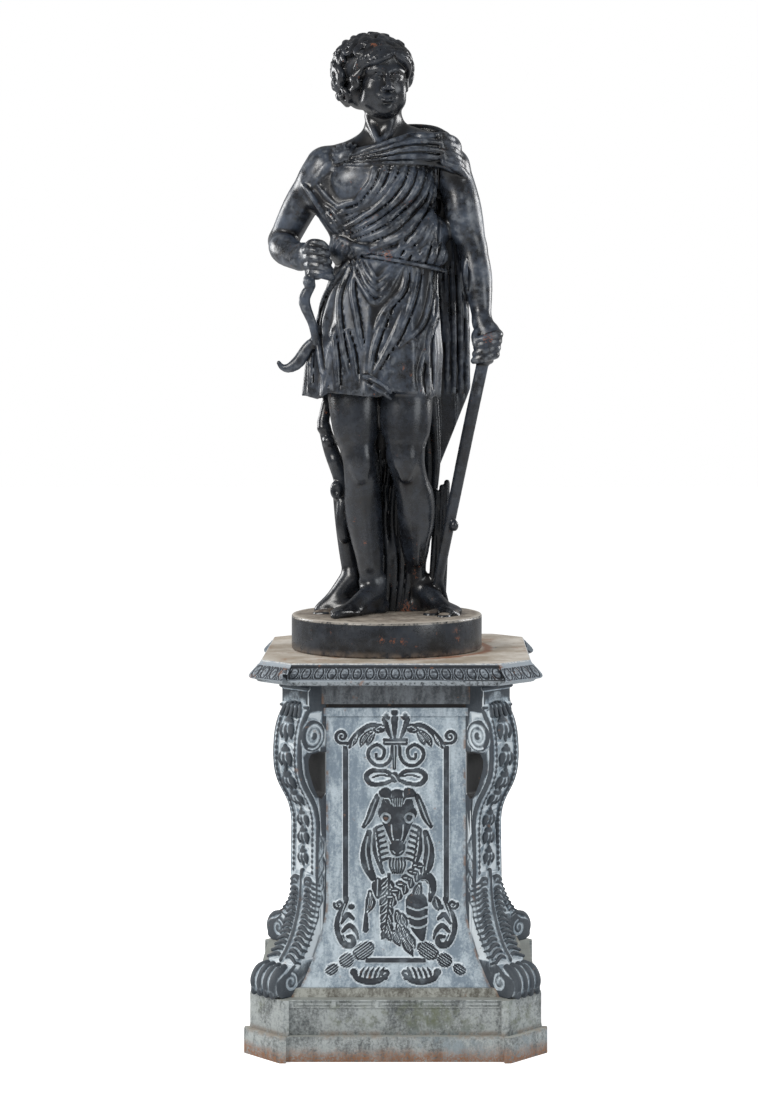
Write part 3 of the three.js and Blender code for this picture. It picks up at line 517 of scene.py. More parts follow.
def model_hands(clay):
    oval, chain = clay.oval, clay.chain
    # Fist on the hip, round the bow's grip.
    oval((-168, -60, 1594), (26, 22, 34), 8)
    chain([(-196, -36, 1618), (-182, -52, 1608)], [22, 24], 8)
    for i in range(4):
        z, x = 1618 - 16 * i, 3 * i
        chain([(-192 + x, -56, z + 3), (-184 + x, -80, z + 4), (-162 + x, -91, z), (-145 + x, -80, z - 5),
               (-148 + x, -64, z - 5)], [8.5, 9.2, 8.8, 8.2, 7.5], 4.5, steps=12)
        oval((-184 + x, -83, z + 4), (8, 6, 7), 5)
        oval((-160 + x, -91, z), (7, 5, 6.5), 4)
    chain([(-190, -58, 1624), (-176, -78, 1636), (-156, -84, 1634), (-146, -78, 1626)], [10, 9, 8.5, 7.5], 4)
    # Hand on the staff.
    oval((193, -40, 1442), (25, 22, 32), 8)
    chain([(178, -28, 1476), (186, -36, 1456)], [20, 22], 8)
    for i in range(4):
        z, x = 1442 - 14 * i, -2.5 * i
        chain([(214 + x, -36, z + 6), (211 + x, -57, z + 4), (192 + x, -68, z - 1), (172 + x, -64, z - 6),
               (168 + x, -54, z - 8)], [8.5, 9, 8.5, 8, 7], 4.5, steps=12)
        oval((209 + x, -58, z + 4), (7, 6, 7), 4)
    chain([(176, -38, 1462), (164, -54, 1446), (164, -64, 1428)], [9.5, 9, 7.5], 3)
    oval((182, -48, 1392), (20, 17, 9), 4)


def head_frame():
    turn, nod = 0.26, 0.05
    spin = np.array([[math.cos(turn), -math.sin(turn), 0], [math.sin(turn), math.cos(turn), 0], [0, 0, 1.0]])
    tip = np.array([[1, 0, 0], [0, math.cos(nod), -math.sin(nod)], [0, math.sin(nod), math.cos(nod)]])
    return spin @ tip


HEAD = np.array([-35.0, -10.0, 1984.0])
HEAD_AXES = head_frame()


def on_head(side, front, up):
    return HEAD + HEAD_AXES @ np.array([side, -front, up], float)


def model_face(clay):
    def oval(side, front, up, radii, soft, cut=False):
        clay.oval(on_head(side, front, up), radii, soft, cut, axes=HEAD_AXES)

    def chain(points, radii, soft, cut=False, steps=None):
        clay.chain([on_head(*p) for p in points], radii, soft, cut, steps)

    oval(0, -6, 26, (56, 68, 60), 6)
    oval(0, 12, -14, (46, 50, 58), 14)
    oval(0, 30, -50, (32, 30, 26), 18)
    oval(0, 46, -66, (15, 13, 12), 14)
    for side in (-1, 1):
        oval(side * 27, 38, -24, (18, 18, 20), 16)
        oval(side * 34, 18, -46, (14, 26, 16), 14)
    chain([(-36, 44, 14), (-18, 58, 17), (0, 59, 13), (18, 58, 17), (36, 44, 14)], [5, 6, 5, 6, 5], 8)
    for side in (-1, 1):
        oval(side * 20, 62, 2, (14, 9, 8), 7, True)
        oval(side * 20, 49, 1, (11.5, 10, 8.5), 1.5)
        chain([(side * 8, 56, 1), (side * 14, 60.5, 6), (side * 22, 60.5, 7), (side * 32, 52, 1)], 2.3, 1.5)
        chain([(side * 9, 56, 0), (side * 16, 58.5, -5), (side * 24, 57.5, -5), (side * 31, 52, 0)], 1.8, 1.5)
    chain([(0, 58, 14), (0, 65, 0), (0, 74, -16), (0, 76, -21)], [5.5, 5.2, 6.5, 7], 5)
    for side in (-1, 1):
        oval(side * 8.5, 67, -23, (5.5, 7, 5), 3)
        oval(side * 5, 72, -28, (2.4, 3, 2), 1.5, True)
    oval(0, 58, -40, (20, 9, 11), 8)
    chain([(-15, 58, -42), (-6, 66, -38), (0, 67, -39.5), (6, 66, -38), (15, 58, -42)], [2, 3.4, 3, 3.4, 2], 1.5)
    chain([(-13, 59, -45), (-5, 65.5, -47), (5, 65.5, -47), (13, 59, -45)], [2.5, 4, 4, 2.5], 1.5)
    chain([(-15, 60, -42.6), (0, 69.5, -42.6), (15, 60, -42.6)], [0.9, 1.3, 0.9], 1.0, True)
    oval(0, 62, -54, (9, 4, 3), 4, True)
    for side in (-1, 1):
        oval(side * 55, -2, -8, (6, 12, 19), 4)
        chain([(side * 57, 6, 4), (side * 60, -6, 8), (side * 60, -10, -6), (side * 57, 2, -22)], 3, 2)


def model_hair(clay):
    random = np.random.default_rng(7)
    middle = np.array([-13.0, -20.0, 24.0])
    radii = np.array([72.0, 66.0, 58.0])
    clay.oval(on_head(*middle), radii, 4, axes=HEAD_AXES)
    clay.oval(on_head(-38, -16, -22), (36, 38, 42), 8, axes=HEAD_AXES)
    clay.oval(on_head(20, -30, -16), (36, 36, 44), 8, axes=HEAD_AXES)

    def shell(around, down):
        s, c = math.sin(down), math.cos(down)
        if down > math.pi / 2:
            s, c = 1 - 0.25 * (down - math.pi / 2) ** 2, 1.25 * c
        return middle + radii * np.array([s * math.sin(around), s * math.cos(around), c])

    def curl(around, down, size, thick, way):
        """One round lock lying on the hair."""
        p = shell(around, down)
        t1 = shell(around + 0.05, down) - p
        t2 = shell(around, down + 0.05) - p
        t1 /= max(np.linalg.norm(t1), 1e-6)
        t2 /= max(np.linalg.norm(t2), 1e-6)
        n = np.cross(t1, t2)
        n *= np.sign(n @ (p - middle)) / max(np.linalg.norm(n), 1e-6)
        start = random.uniform(0, 2 * math.pi)
        line = []
        for k in range(9):
            angle = start + way * 2 * math.pi * 1.1 * k / 8
            far = size * (1 - 0.72 * k / 8)
            line.append(p + far * (math.cos(angle) * t1 + 1.15 * math.sin(angle) * t2) + n * (2 + 12 * k / 8))
        width = [thick * 0.7, thick, thick * 0.95, thick * 0.8, thick * 0.6]
        clay.chain([on_head(*q) for q in line], width, 1.4, steps=12)
        clay.chain([on_head(*(q + n * thick * 0.95)) for q in line[:-1]], [0.8, 1.6, 1.6, 1.0], 0.8, True, steps=11)

    for down, count in ((0.12, 3), (0.45, 8), (0.80, 12), (1.13, 15), (1.46, 16), (1.80, 15), (2.14, 13), (2.45, 11)):
        for i in range(count):
            around = 2 * math.pi * (i + random.uniform(-0.22, 0.22) + 0.5 * (count % 2)) / count
            around = (around + math.pi) % (2 * math.pi) - math.pi
            front = math.cos(around)
            if front > 0.25 and down > 1.25 or around > 0 and front > -0.35 and down > 1.95:
                continue
            curl(around, down + random.uniform(-0.06, 0.06), random.uniform(14, 19), random.uniform(7.8, 10.2), random.choice((-1, 1)))
    fringe = (
        [(14, 46, 58), (-4, 52, 52), (-22, 50, 42), (-38, 40, 36), (-50, 30, 22)],
        [(8, 42, 66), (-14, 48, 62), (-34, 44, 50), (-50, 34, 40), (-60, 22, 22)],
        [(16, 46, 58), (28, 46, 50), (40, 36, 40), (48, 26, 26), (50, 18, 10)],
        [(14, 40, 64), (34, 38, 58), (46, 26, 44), (54, 12, 28)],
        [(-50, 30, 18), (-60, 22, 4), (-56, 22, -10), (-64, 12, -22)],
    )
    for line in fringe:
        thick = random.uniform(9.5, 11.5)
        line = [(p[0] * 1.05, p[1] * 1.05 + 7, p[2] - 5) for p in line]
        spots = [on_head(*p) for p in line]
        clay.chain(spots, [thick * 0.6, thick, thick, thick * 0.85, thick * 0.4], 2)
        for offset in (-3, 3):
            groove = [on_head(p[0] * 1.1, p[1] * 1.14, p[2] + offset + 3) for p in line]
            clay.chain(groove, [0.8, 1.6, 1.6, 0.8], 1.0, True)


def model_cloth(clay):
    turned = pleats(random_pleats(3, 10, 0.5, math.pi - 0.3, 12.0)
                    + [(-0.15, 0.1, 0.10, 9.0), (-0.5, 0.1, 0.10, 6.0), (3.35, 0.0, 0.10, 9.0), (3.7, -0.1, 0.1, 6.0),
                       (-1.05, 0.15, 0.09, 6.0), (-2.2, -0.1, 0.09, 7.0), (-1.75, 0.12, 0.07, 6.0)])
    hem_x = (-192, -165, -140, -95, -37, -10, 48, 86)
    hem_z = (1319, 1312, 1326, 1321, 1316, 1328, 1328, 1316)
    cone_cloth(
        clay, (-210, -130, 1310), (110, 130, 1606),
        lambda t: (-12 - 44 * np.sqrt(t), -2 + 0 * t),
        lambda t, x: (106 + 31 * np.minimum(1, t * 1.5) + 2 * t, 78 + 24 * np.sqrt(t)),
        turned, 6, inner=9.0, hem=lambda x: np.interp(x, hem_x, hem_z))
    hanging = pleats(random_pleats(5, 9, 0.2, math.pi - 0.2, 12.0)
                     + [(0.0, 0.05, 0.12, 9.0), (-0.45, 0.05, 0.12, 8.0), (-0.85, 0.0, 0.10, 7.0)])
    cone_cloth(
        clay, (-110, 20, 1150), (185, 150, 1862),
        lambda t: (36 + 3 * t, 50 + 44 * np.sqrt(t)),
        lambda t, x: (86 + 25 * np.sin(math.pi * np.minimum(0.5, t * 1.6)), 24 + 6 * t),
        hanging, 6, hem=lambda x: 1170 + 2.5 * np.maximum(0, x - 90) + 0.6 * np.maximum(0, 20 - x))


def model_folds(clay):
    front = Drapery(clay)
    # Bodice: folds that run from the neckline to the sleeve's edge, the knot and the belt.
    keys = ([(374, 163), (370, 182), (355, 199), (336, 206)],
            [(385, 162), (381, 180), (362, 204), (339, 212)],
            [(406, 162), (397, 184), (374, 208), (341, 228)],
            [(431, 165), (424, 192), (393, 226), (358, 240)],
            [(434, 184), (429, 214), (412, 241), (386, 256)],
            [(435, 206), (433, 228), (425, 250), (414, 262)])
    for i, count in enumerate((2, 3, 4, 3, 3)):
        front.fan(keys[i], keys[i + 1], count, 6.4, 6.0, seed=i)
    front.fold([(436, 160), (436, 190), (435, 225), (433, 258)], 5.0, 5.0)
    front.fold([(438.5, 160), (438.5, 190), (438, 225), (437, 250)], 4.5, 2.0, 2, True)
    front.fan([(303, 186), (308, 194), (318, 206), (328, 222), (339, 233)],
              [(309, 186), (322, 202), (336, 214), (347, 232)], 3, 5.0, 4.5, seed=3)
    front.crease([(312, 176), (322, 190), (334, 202), (350, 212)], 5, 4, 3)
    # Blouse over the belt and the knot on the hip.
    for i in range(6):
        x = 398 + 8.6 * i
        front.crease([(x + 5, 236 + 1.2 * i), (x + 1, 250 + i), (x - 3, 259 + 1.6 * i)], 5.8, 5.6, 4)
    for i in range(7):
        x, y = 336 + 4.2 * i, 238 + 1.8 * i
        front.fold([(x - 4, y + 9), (x + 2, y), (x + 8, y + 4), (x + 12, y + 9)], 4.8, 6.5, soft=1.5)
    # Skirt: garland folds under the belt, then long folds to the hem.
    front.fan([(352, 261), (361, 286), (376, 303), (391, 287), (403, 265)],
              [(366, 261), (371, 271), (378, 279), (386, 271), (394, 263)], 4, 5.2, 6.0, seed=4)
    for line in (
        [(347, 262), (326, 291), (317, 318), (318, 350), (326, 394)],
        [(338, 268), (319, 300), (311, 340), (308, 392)],
        [(348, 266), (338, 300), (342, 343), (349, 374)],
        [(355, 266), (352, 290), (357, 320), (362, 348)],
        [(346, 330), (352, 352), (356, 380)],
        [(332, 330), (336, 360), (338, 392)],
        [(392, 300), (375, 343), (369, 376)],
        [(405, 304), (392, 339), (371, 378)],
        [(406, 266), (402, 290), (384, 312), (374, 332)],
        [(418, 269), (412, 298), (400, 330), (388, 352)],
        [(431, 271), (429, 298), (420, 326), (400, 346)],
        [(438, 275), (436, 311), (427, 344), (429, 395)],
        [(441, 280), (444, 330), (442, 392)],
        [(424, 352), (419, 374), (421, 394)],
    ):
        front.crease(line, 6.4, 6.8)
    # Cloak across the neckline.
    front.fan([(352, 154), (385, 143), (412, 135), (446, 134)],
              [(344, 163), (375, 163), (404, 161), (435, 162), (455, 168)], 5, 8.0, 10.0, seed=5, dig=8.0,
              taper=(0.4, 0.65, 0.85, 1, 1, 1))
    for i in range(4):
        front.crease([(340 - 2 * i, 158 + 3 * i), (326 - 2 * i, 162 + 4 * i), (312 - i, 174 + 4 * i)], 4.6, 4.0, 2.6)
    # Cloak beside the skirt, seen past the hip.
    for x in (447, 454, 461, 467):
        front.crease([(x - 2, 262), (x - 1, 300), (x, 350), (x, 392)], 6.0, 6.0, 3.2, depth=60)
    back = Drapery(clay, 1)
    for i in range(9):
        x = 330 + 14 * i
        back.crease([(x + 4, 160), (x + 2, 200), (x - 2, 250), (x, 300), (x - 4, 380)], 7.0, 6.0, depth=90)


def model_shoulder_cloak(clay):
    for i in range(6):
        share = i / 5
        line = []
        for px, py, y in ((440 + 4 * share, 135 + 27 * share, -62), (450 + 9 * share, 139 + 30 * share, -38),
                          (455 + 12 * share, 145 + 37 * share, 2), (452 + 12 * share, 148 + 44 * share, 42),
                          (443 + 12 * share, 152 + 50 * share, 70)):
            x, z = in_view(px, py, y)
            line.append((x, y, z))
        clay.chain(line, [7.5, 9, 9.5, 9, 8], 2.5, steps=14)
    for i in range(3):
        line = []
        for px, py, y in ((465 - 3 * i, 176, 24), (469 - 3 * i, 200, 34), (473 - 3 * i, 225, 44), (474 - 3 * i, 250, 52),
                          (470 - 3 * i, 300, 64)):
            x, z = in_view(px, py, y + 10 * i)
            line.append((x, y + 10 * i, z))
        clay.chain(line, [6, 6.5, 6.5, 6, 6], 2, steps=14)
    for i in range(8):
        a = math.radians(62 + 19 * i)
        x, z = in_view(347, 159, -44)
        clay.chain([(x, -52, z), (x + 15 * math.cos(a), -48, z + 15 * math.sin(a)),
                    (x + 33 * math.cos(a), -30, z + 29 * math.sin(a)), (x + 46 * math.cos(a), -8, z + 36 * math.sin(a))],
                   [3.2, 5.2, 5.4, 3.4], 1.2, steps=10)
    nape = []
    for px, py, y in ((384, 134, 60), (398, 130, 54), (416, 129, 44), (434, 131, 30), (446, 136, 10)):
        x, z = in_view(px, py, y)
        nape.append((x, y, z))
    clay.chain(nape, [8, 10, 11, 11, 9], 3)
    clay.chain([(-203, 4, 1770), (-192, -28, 1756), (-170, -38, 1724), (-148, -38, 1690), (-126, -46, 1664)], [5, 5.5, 6, 5.5, 4.5], 2)
    clay.chain([(-203, 4, 1770), (-200, 36, 1750), (-178, 50, 1716), (-150, 44, 1684)], [5, 6, 6, 5], 3)


def model_details(clay):
    oval, chain = clay.oval, clay.chain
    # Belt cord.
    ring = []
    for i in range(25):
        a = 2 * math.pi * i / 24
        x = -8 + math.cos(a) * 111
        ring.append((x, math.sin(a) * 85, 1601 - 0.18 * (x + 8)))
    chain(ring, 6.5, 2, cut=True, steps=48)
    chain([(x * 0.985, y * 0.965, z) for x, y, z in ring], 4.2, 1.5, steps=48)
    # Turned-up corner of the hem.
    flap = [(*in_view(px, py, -112), y) for px, py, y in ((364, 376, -104), (372, 380, -116), (382, 386, -118), (390, 392, -108))]
    chain([(x, y, z) for x, z, y in flap], [5, 8, 8, 5], 2)
    chain([(x, y - 4, z - 9) for x, z, y in flap], [3, 7, 7, 4], 1.5, cut=True)
    chain([(x + 2, y + 4, z - 15) for x, z, y in flap], [3, 4, 4, 3], 2)
    # Staff and its thin prop.
    chain([(186, -50, 1420), (150, -30, 1250), (116, -6, 1080), (86, 28, 925), (76, 42, 856)],
          [13, 13, 12, 10.5, 9], 2, steps=12, flat=((0.2, 1, 0), 0.72))
    oval((120, -10, 1046), (9, 9, 12), 4)
    chain([(92, 24, 930), (102, 34, 892), (110, 40, 856)], [4.5, 4.5, 5], 2)
    # Bow: knob, upper limb in front of the hip, and the curled tip.
    oval((-182, -80, 1557), (13, 12, 15), 2)
    oval((-182, -92, 1557), (6, 4, 7), 2)
    chain([(-178, -76, 1548), (-192, -74, 1516), (-176, -64, 1470), (-168, -54, 1430)], [10, 12, 9, 8], 3,
          flat=((0, 1, 0), 0.7))
    chain([(-166, -50, 1440), (-186, -46, 1420), (-206, -42, 1390), (-226, -40, 1377), (-240, -39, 1379),
           (-247, -39, 1388)], [8, 12, 13.5, 10, 6.5, 5], 3, flat=((0, 1, 0), 0.65), steps=14)


def model_stump(clay):
    chain, oval = clay.chain, clay.oval
    random = np.random.default_rng(17)
    trunk = [(-36, 84, 856), (-35, 84, 905), (-34, 84, 1050), (-34, 82, 1200), (-32, 76, 1330)]
    chain(trunk, [84, 74, 64, 60, 56], 10, steps=10, flat=((0, 1, 0), 0.62))
    for x, y, z, r in ((-150, 70, 862, 26), (-120, 50, 866, 30), (-96, 40, 870, 24), (30, 60, 866, 34),
                       (70, 80, 866, 30), (-60, 120, 866, 34), (20, 124, 866, 30)):
        oval((x, y, z), (r, r * 0.8, r * 0.7), 16)
    chain([(-96, 60, 930), (-130, 58, 890), (-165, 52, 862)], [26, 20, 12], 14)
    chain([(-88, 66, 900), (-104, 62, 980), (-114, 56, 1050), (-120, 54, 1110)], [22, 20, 19, 18], 8)
    chain([(-110, 52, 1100), (-122, 50, 1150), (-142, 50, 1205), (-158, 48, 1262)], [15, 17, 16, 12], 6)
    chain([(-158, 48, 1262), (-150, 52, 1300), (-140, 56, 1330)], [12, 12, 12], 5)
    oval((-129, 40, 1118), (14, 14, 21), 3)
    oval((-131, 26, 1118), (7, 6, 12), 3, True)
    oval((-156, 42, 1250), (15, 13, 14), 4)
    oval((-146, 38, 1222), (13, 12, 13), 4)
    oval((-132, 42, 1180), (14, 13, 16), 5)
    chain([(-116, 40, 1092), (-118, 38, 1050), (-114, 38, 1018)], [13, 14, 12], 3)
    # Quiver-like slab behind the staff and the cloth tail that falls to it.
    for x, top in ((84, 1112), (95, 1124), (105, 1134)):
        chain([(x, 42, top), (x - 5, 44, 1000), (x - 12, 46, 868)], [6.5, 8, 9], 1)
    chain([(72, 60, 1320), (80, 56, 1240), (82, 52, 1170), (74, 52, 1080)], [17, 12, 9, 7], 4)
    chain([(54, 62, 1320), (64, 58, 1230), (66, 54, 1150), (62, 54, 1060)], [14, 10, 9, 6], 3)
    # Bark: upright cracks and ridges.
    for i in range(46):
        x = random.uniform(-108, 42)
        low = random.uniform(865, 1120)
        high = low + random.uniform(60, 190)
        lean = random.uniform(-10, 10)
        depth = 84 - 45 * math.sqrt(max(0.05, 1 - ((x + 34) / 82) ** 2))
        chain([(x, depth, low), (x + lean * 0.4, depth - 2, (low + high) / 2), (x + lean, depth, high)],
              [2, random.uniform(4, 6.5), 2], 1.5, cut=bool(i % 2))
    for i in range(5):
        x = -38 + 15 * i
        chain([(x - 6, 42, 862), (x + 3, 38, 960), (x - 4, 40, 1060), (x + 6, 44, 1180)], [9, 6, 7, 4], 2, steps=14)
    # Rough ground on the right and behind.
    for i in range(60):
        a = random.uniform(-0.55, math.pi + 0.35)
        r = random.uniform(90, 176)
        x, y = DISC_CENTRE + r * math.cos(a), r * math.sin(a)
        s = random.uniform(8, 17)
        oval((x, y, DISC_TOP - 2 + s * 0.1), (s, s * random.uniform(0.7, 1.2), s * 0.65), 4)


def build_statue(cell, triangles):
    clay = Clay((-290, -150, 846), (236, 160, 2096), cell)
    model_torso(clay)
    model_cloth(clay)
    model_limbs(clay)
    model_folds(clay)
    model_shoulder_cloak(clay)
    model_stump(clay)
    model_foot(clay, (-36, 18, 861), (-143, -103, 861), -1)
    model_foot(clay, (48, 66, 861), (132, -52, 861), 1)
    model_details(clay)
    model_hands(clay)
    model_face(clay)
    model_hair(clay)
    floor = DISC_TOP - 8.0
    clay.d = np.maximum(clay.d, (floor - clay.axes[2])[None, None, :])
    points, quads = clay.skin()
    made = mesh_object("statue_figure", points, quads)
    only(made)
    keep_largest(made)
    bpy.ops.mesh.primitive_cylinder_add(vertices=160, radius=DISC_RADIUS * MM, depth=(DISC_HEIGHT - GAP) * MM)
    disc = bpy.context.object
    disc.data.transform(Matrix.Translation((DISC_CENTRE * MM, 0, (CAP_TOP + GAP + (DISC_HEIGHT - GAP) / 2) * MM)))
    disc.location = (0, 0, 0)
    applied(disc, "BEVEL", width=4.5 * MM, segments=3, limit_method="ANGLE")
    thinned(made, triangles)
    only(made)
    join = made.modifiers.new("Disc", "BOOLEAN")
    join.operation = "UNION"
    join.solver = "MANIFOLD"
    join.object = disc
    bpy.ops.object.modifier_apply(modifier=join.name)
    bpy.data.objects.remove(disc)
    smooth_shaded(made, 50)
    mark_hollows(made)
    return made


def keep_largest(obj):
    """Drops small loose shells, such as bubbles inside the casting."""
    mesh = obj.data
    n = len(mesh.vertices)
    edges = np.empty(len(mesh.edges) * 2, np.int32)
    mesh.edges.foreach_get("vertices", edges)
    a, b = edges.reshape(-1, 2).T
    label = np.arange(n)
    while True:
        low = np.minimum(label[a], label[b])
        new = label.copy()
        np.minimum.at(new, a, low)
        np.minimum.at(new, b, low)
        new = new[new]
        new = new[new]
        if (new == label).all():
            break
        label = new
    names, counts = np.unique(label, return_counts=True)
    main = names[counts.argmax()]
    drop = label != main
    if drop.any():
        bpy.ops.object.mode_set(mode="EDIT")
        bpy.ops.mesh.select_all(action="DESELECT")
        bpy.ops.object.mode_set(mode="OBJECT")
        mesh.vertices.foreach_set("select", drop)
        bpy.ops.object.mode_set(mode="EDIT")
        bpy.ops.mesh.select_mode(type="VERT")
        bpy.ops.object.mode_set(mode="OBJECT")
        mesh.vertices.foreach_set("select", drop)
        bpy.ops.object.mode_set(mode="EDIT")
        bpy.ops.mesh.delete(type="VERT")
        bpy.ops.object.mode_set(mode="OBJECT")


# Panels

def face_distance(height):
    low = np.maximum(0, (FLARE_HEIGHT - height) / FLARE_HEIGHT)
    return FACE + FLARE_DEPTH * low ** 1.7


class Carving:
    """Heights in millimetres over a flat ground of offsets and heights."""

    def __init__(self, u, h):
        self.u, self.h = u, h
        self.rise = np.zeros_like(u)

    def away(self, line):
        best = np.full(self.u.shape, 1e3)
        for (a, b, ra), (c, d, rb) in zip(line[:-1], line[1:]):
            ab = (c - a, d - b)
            length = max(ab[0] ** 2 + ab[1] ** 2, 1e-6)
            t = np.clip(((self.u - a) * ab[0] + (self.h - b) * ab[1]) / length, 0, 1)
            gap = np.hypot(self.u - a - t * ab[0], self.h - b - t * ab[1]) / (ra + (rb - ra) * t)
            best = np.minimum(best, gap)
        return best

    def raised(self, share, height, sharp=2.0):
        top = np.clip(1 - share ** sharp, 0, 1) ** 0.5
        self.rise = np.maximum(self.rise, 1.15 * height * top)

    def stroke(self, points, widths, height=5.0, sharp=2.6, steps=None):
        widths = np.atleast_1d(np.asarray(widths, float)) * 1.22
        spread = np.interp(np.linspace(0, 1, len(points)), np.linspace(0, 1, len(widths)), widths)
        path = smooth_path(np.column_stack([points, spread]), steps or 5 * len(points))
        self.raised(self.away(path), height, sharp)

    def groove(self, points, width, depth):
        path = smooth_path(np.column_stack([points, np.full(len(points), width * 1.1)]), 4 * len(points))
        share = self.away(path)
        self.rise = self.rise - depth * np.clip(1 - share ** 2, 0, 1) ** 0.5 * (self.rise > 0.6)

    def dome(self, u, h, ru, rh, height, turn=0.0, sharp=2.4):
        c, s = math.cos(turn), math.sin(turn)
        x, y = self.u - u, self.h - h
        share = np.hypot((x * c + y * s) / ru, (y * c - x * s) / rh)
        self.raised(share, height, sharp)

    def spiral(self, u, h, radius, start, turns, width, height=5.0, way=1):
        line = []
        for i in range(int(14 * turns) + 1):
            a = start + way * 2 * math.pi * turns * i / int(14 * turns)
            r = radius * (1 - 0.86 * i / int(14 * turns))
            line.append((u + r * math.cos(a), h + r * math.sin(a)))
        self.stroke(line, [width * 0.86, width * 0.6], height, steps=len(line) * 2)

    def leaf(self, start, end, width, height=5.0, veins=3, bend=0.0):
        a, b = np.array(start, float), np.array(end, float)
        along = b - a
        aside = np.array([-along[1], along[0]])
        middle = (a + b) / 2 + aside * bend
        self.stroke([a, middle, b], [width * 0.45, width, width * 0.2], height)
        for i in range(veins):
            t = (i + 1) / (veins + 1) - 0.5
            shift = aside / max(np.linalg.norm(aside), 1e-6) * width * 1.6 * t
            self.groove([a + shift * 0.4, middle + shift, b + shift * 0.2], max(0.9, width * 0.1), height * 0.4)


def carve_panel(c):
    def both(action):
        for side in (-1, 1):
            action(side)

    def upper(side):
        c.stroke([(side * 102.3, 488), (side * 102.3, 186)], 4.6, 4.2, 6.0)
        c.spiral(side * 109.5, 511, 13, math.radians(-90), 1.5, 4.2, 5.5, way=side)
        c.stroke([(side * 108, 497.5), (side * 96, 497), (side * 88, 506), (side * 74, 520), (side * 52, 533), (side * 22, 531)],
                 [3.2, 3.6, 4.2, 4.6, 3.6], 5.5)
        c.stroke([(side * 94, 489), (side * 84, 506), (side * 66, 521)], [2.6, 4, 3], 4.5)
        c.leaf((side * 50, 522), (side * 72, 490), 7.5, 5, bend=0.08 * side)
        c.leaf((side * 44, 519), (side * 58, 492), 6.5, 4.5, bend=0.05 * side)
        c.leaf((side * 78, 514), (side * 90, 490), 5.5, 4.5)
        c.dome(side * 33, 527, 16, 10, 6.5, side * -0.25)
        c.groove([(side * 24, 529), (side * 32, 531), (side * 40, 525), (side * 34, 522)], 1.3, 3)
        c.stroke([(side * 23, 545), (side * 19, 530), (side * 10, 508)], [5, 5, 2.6], 6)
        c.dome(side * 19, 553, 10, 11, 6.5)
        c.stroke([(side * 7, 493), (side * 9, 470), (side * 20, 455), (side * 38, 452), (side * 54, 466),
                  (side * 54, 484), (side * 38, 494), (side * 24, 484), (side * 27, 468), (side * 38, 466), (side * 40, 475)],
                 [3.2, 3.4, 3.4, 3.2, 2.6], 5.2, steps=60)
        c.stroke([(side * 3, 428), (side * 20, 440), (side * 46, 442), (side * 60, 430), (side * 50, 415),
                  (side * 26, 415), (side * 4, 424)], [3.4, 4.4, 4.8, 4.4, 3.2], 5, steps=40)
        c.stroke([(side * 10, 430), (side * 30, 433), (side * 47, 428)], [2, 2.4, 1.6], 3.5)

    both(upper)
    c.stroke([(-2.7, 566), (-2.7, 540), (-2.7, 508)], [7, 6, 3], 6)
    c.dome(-2.7, 560, 11, 12, 7.5)
    c.dome(-2.7, 545, 5, 9, 3.2)
    for h in (503.5, 497):
        c.stroke([(-23, h), (21, h)], 3.2, 5.5, 4)
    c.stroke([(-3, 492), (-3, 446)], [4.5, 3.2], 4.2)
    c.groove([(-3, 492), (-3, 446)], 1.0, 2.5)
    c.dome(-2.7, 428.5, 9, 12, 7)
    c.groove([(-8, 434), (-2, 430), (3, 420)], 1.4, 3)
    # Goat's head.
    mid = 3.0
    c.dome(mid, 356, 40, 24, 10, sharp=3.0)
    c.stroke([(mid, 372), (mid, 350), (mid, 318), (mid, 290)], [27, 29, 19, 13], 13)
    c.dome(mid, 289, 17, 22, 16, sharp=2.6)
    for side in (-1, 1):
        c.stroke([(mid + side * 15, 374), (mid + side * 18, 388), (mid + side * 23, 398), (mid + side * 30, 396)],
                 [7, 8.5, 9, 7], 12)
        c.groove([(mid + side * 12, 376), (mid + side * 17, 386), (mid + side * 26, 388)], 1.2, 3)
        c.stroke([(mid + side * 40, 390), (mid + side * 50, 366), (mid + side * 57, 346), (mid + side * 68, 329)],
                 [5, 6.5, 6, 3.6], 8.5)
        c.groove([(mid + side * 44, 384), (mid + side * 54, 356), (mid + side * 64, 334)], 1.4, 4)
        eye = mid + side * 24
        c.groove([(eye - 9, 348), (eye - 3, 355), (eye + 6, 354), (eye + 9, 347), (eye + 3, 338), (eye - 5, 340), (eye - 9, 348)],
                 2.6, 9)
        c.dome(eye, 347, 5.0, 5.5, 13)
        c.groove([(mid + side * 35, 342), (mid + side * 26, 322), (mid + side * 19, 306), (mid + side * 14, 296)], 1.8, 8)
        c.groove([(mid + side * 12, 334), (mid + side * 11, 316), (mid + side * 8, 304)], 1.2, 3)
        c.groove([(mid + side * 5, 277), (mid + side * 10, 281)], 1.6, 5)
        for i in range(7):
            h = 328 - 11 * i
            out = mid + side * (43 - 1.6 * i)
            c.stroke([(mid + side * (31 - 2.4 * i), h + 3), (out, h - 3), (out - side * 3, h - 15)], [2.0, 3.2, 1.2], 6.0)
        for i in range(3):
            c.stroke([(mid + side * (2 + 6 * i), 264), (mid + side * (3 + 6 * i), 250), (mid + side * (1.5 + 4 * i), 234)],
                     [2.4, 2.6, 1.2], 8)
        c.stroke([(mid + side * 57, 316), (mid + side * 64, 284), (mid + side * 62, 254), (mid + side * 50, 226)],
                 [5.5, 8.5, 9.5, 6.5], 7)
        c.groove([(mid + side * 60, 308), (mid + side * 64, 280), (mid + side * 57, 242)], 1.6, 4)
        c.stroke([(mid + side * 46, 322), (mid + side * 45, 280), (mid + side * 30, 236)], [3.6, 4.6, 3.6], 5.5)
    c.groove([(mid - 8, 271), (mid, 268), (mid + 8, 271)], 1.3, 4)
    for i in range(5):
        c.groove([(mid - 10 + 5 * i, 386), (mid - 8 + 4 * i, 372)], 1.1, 4)
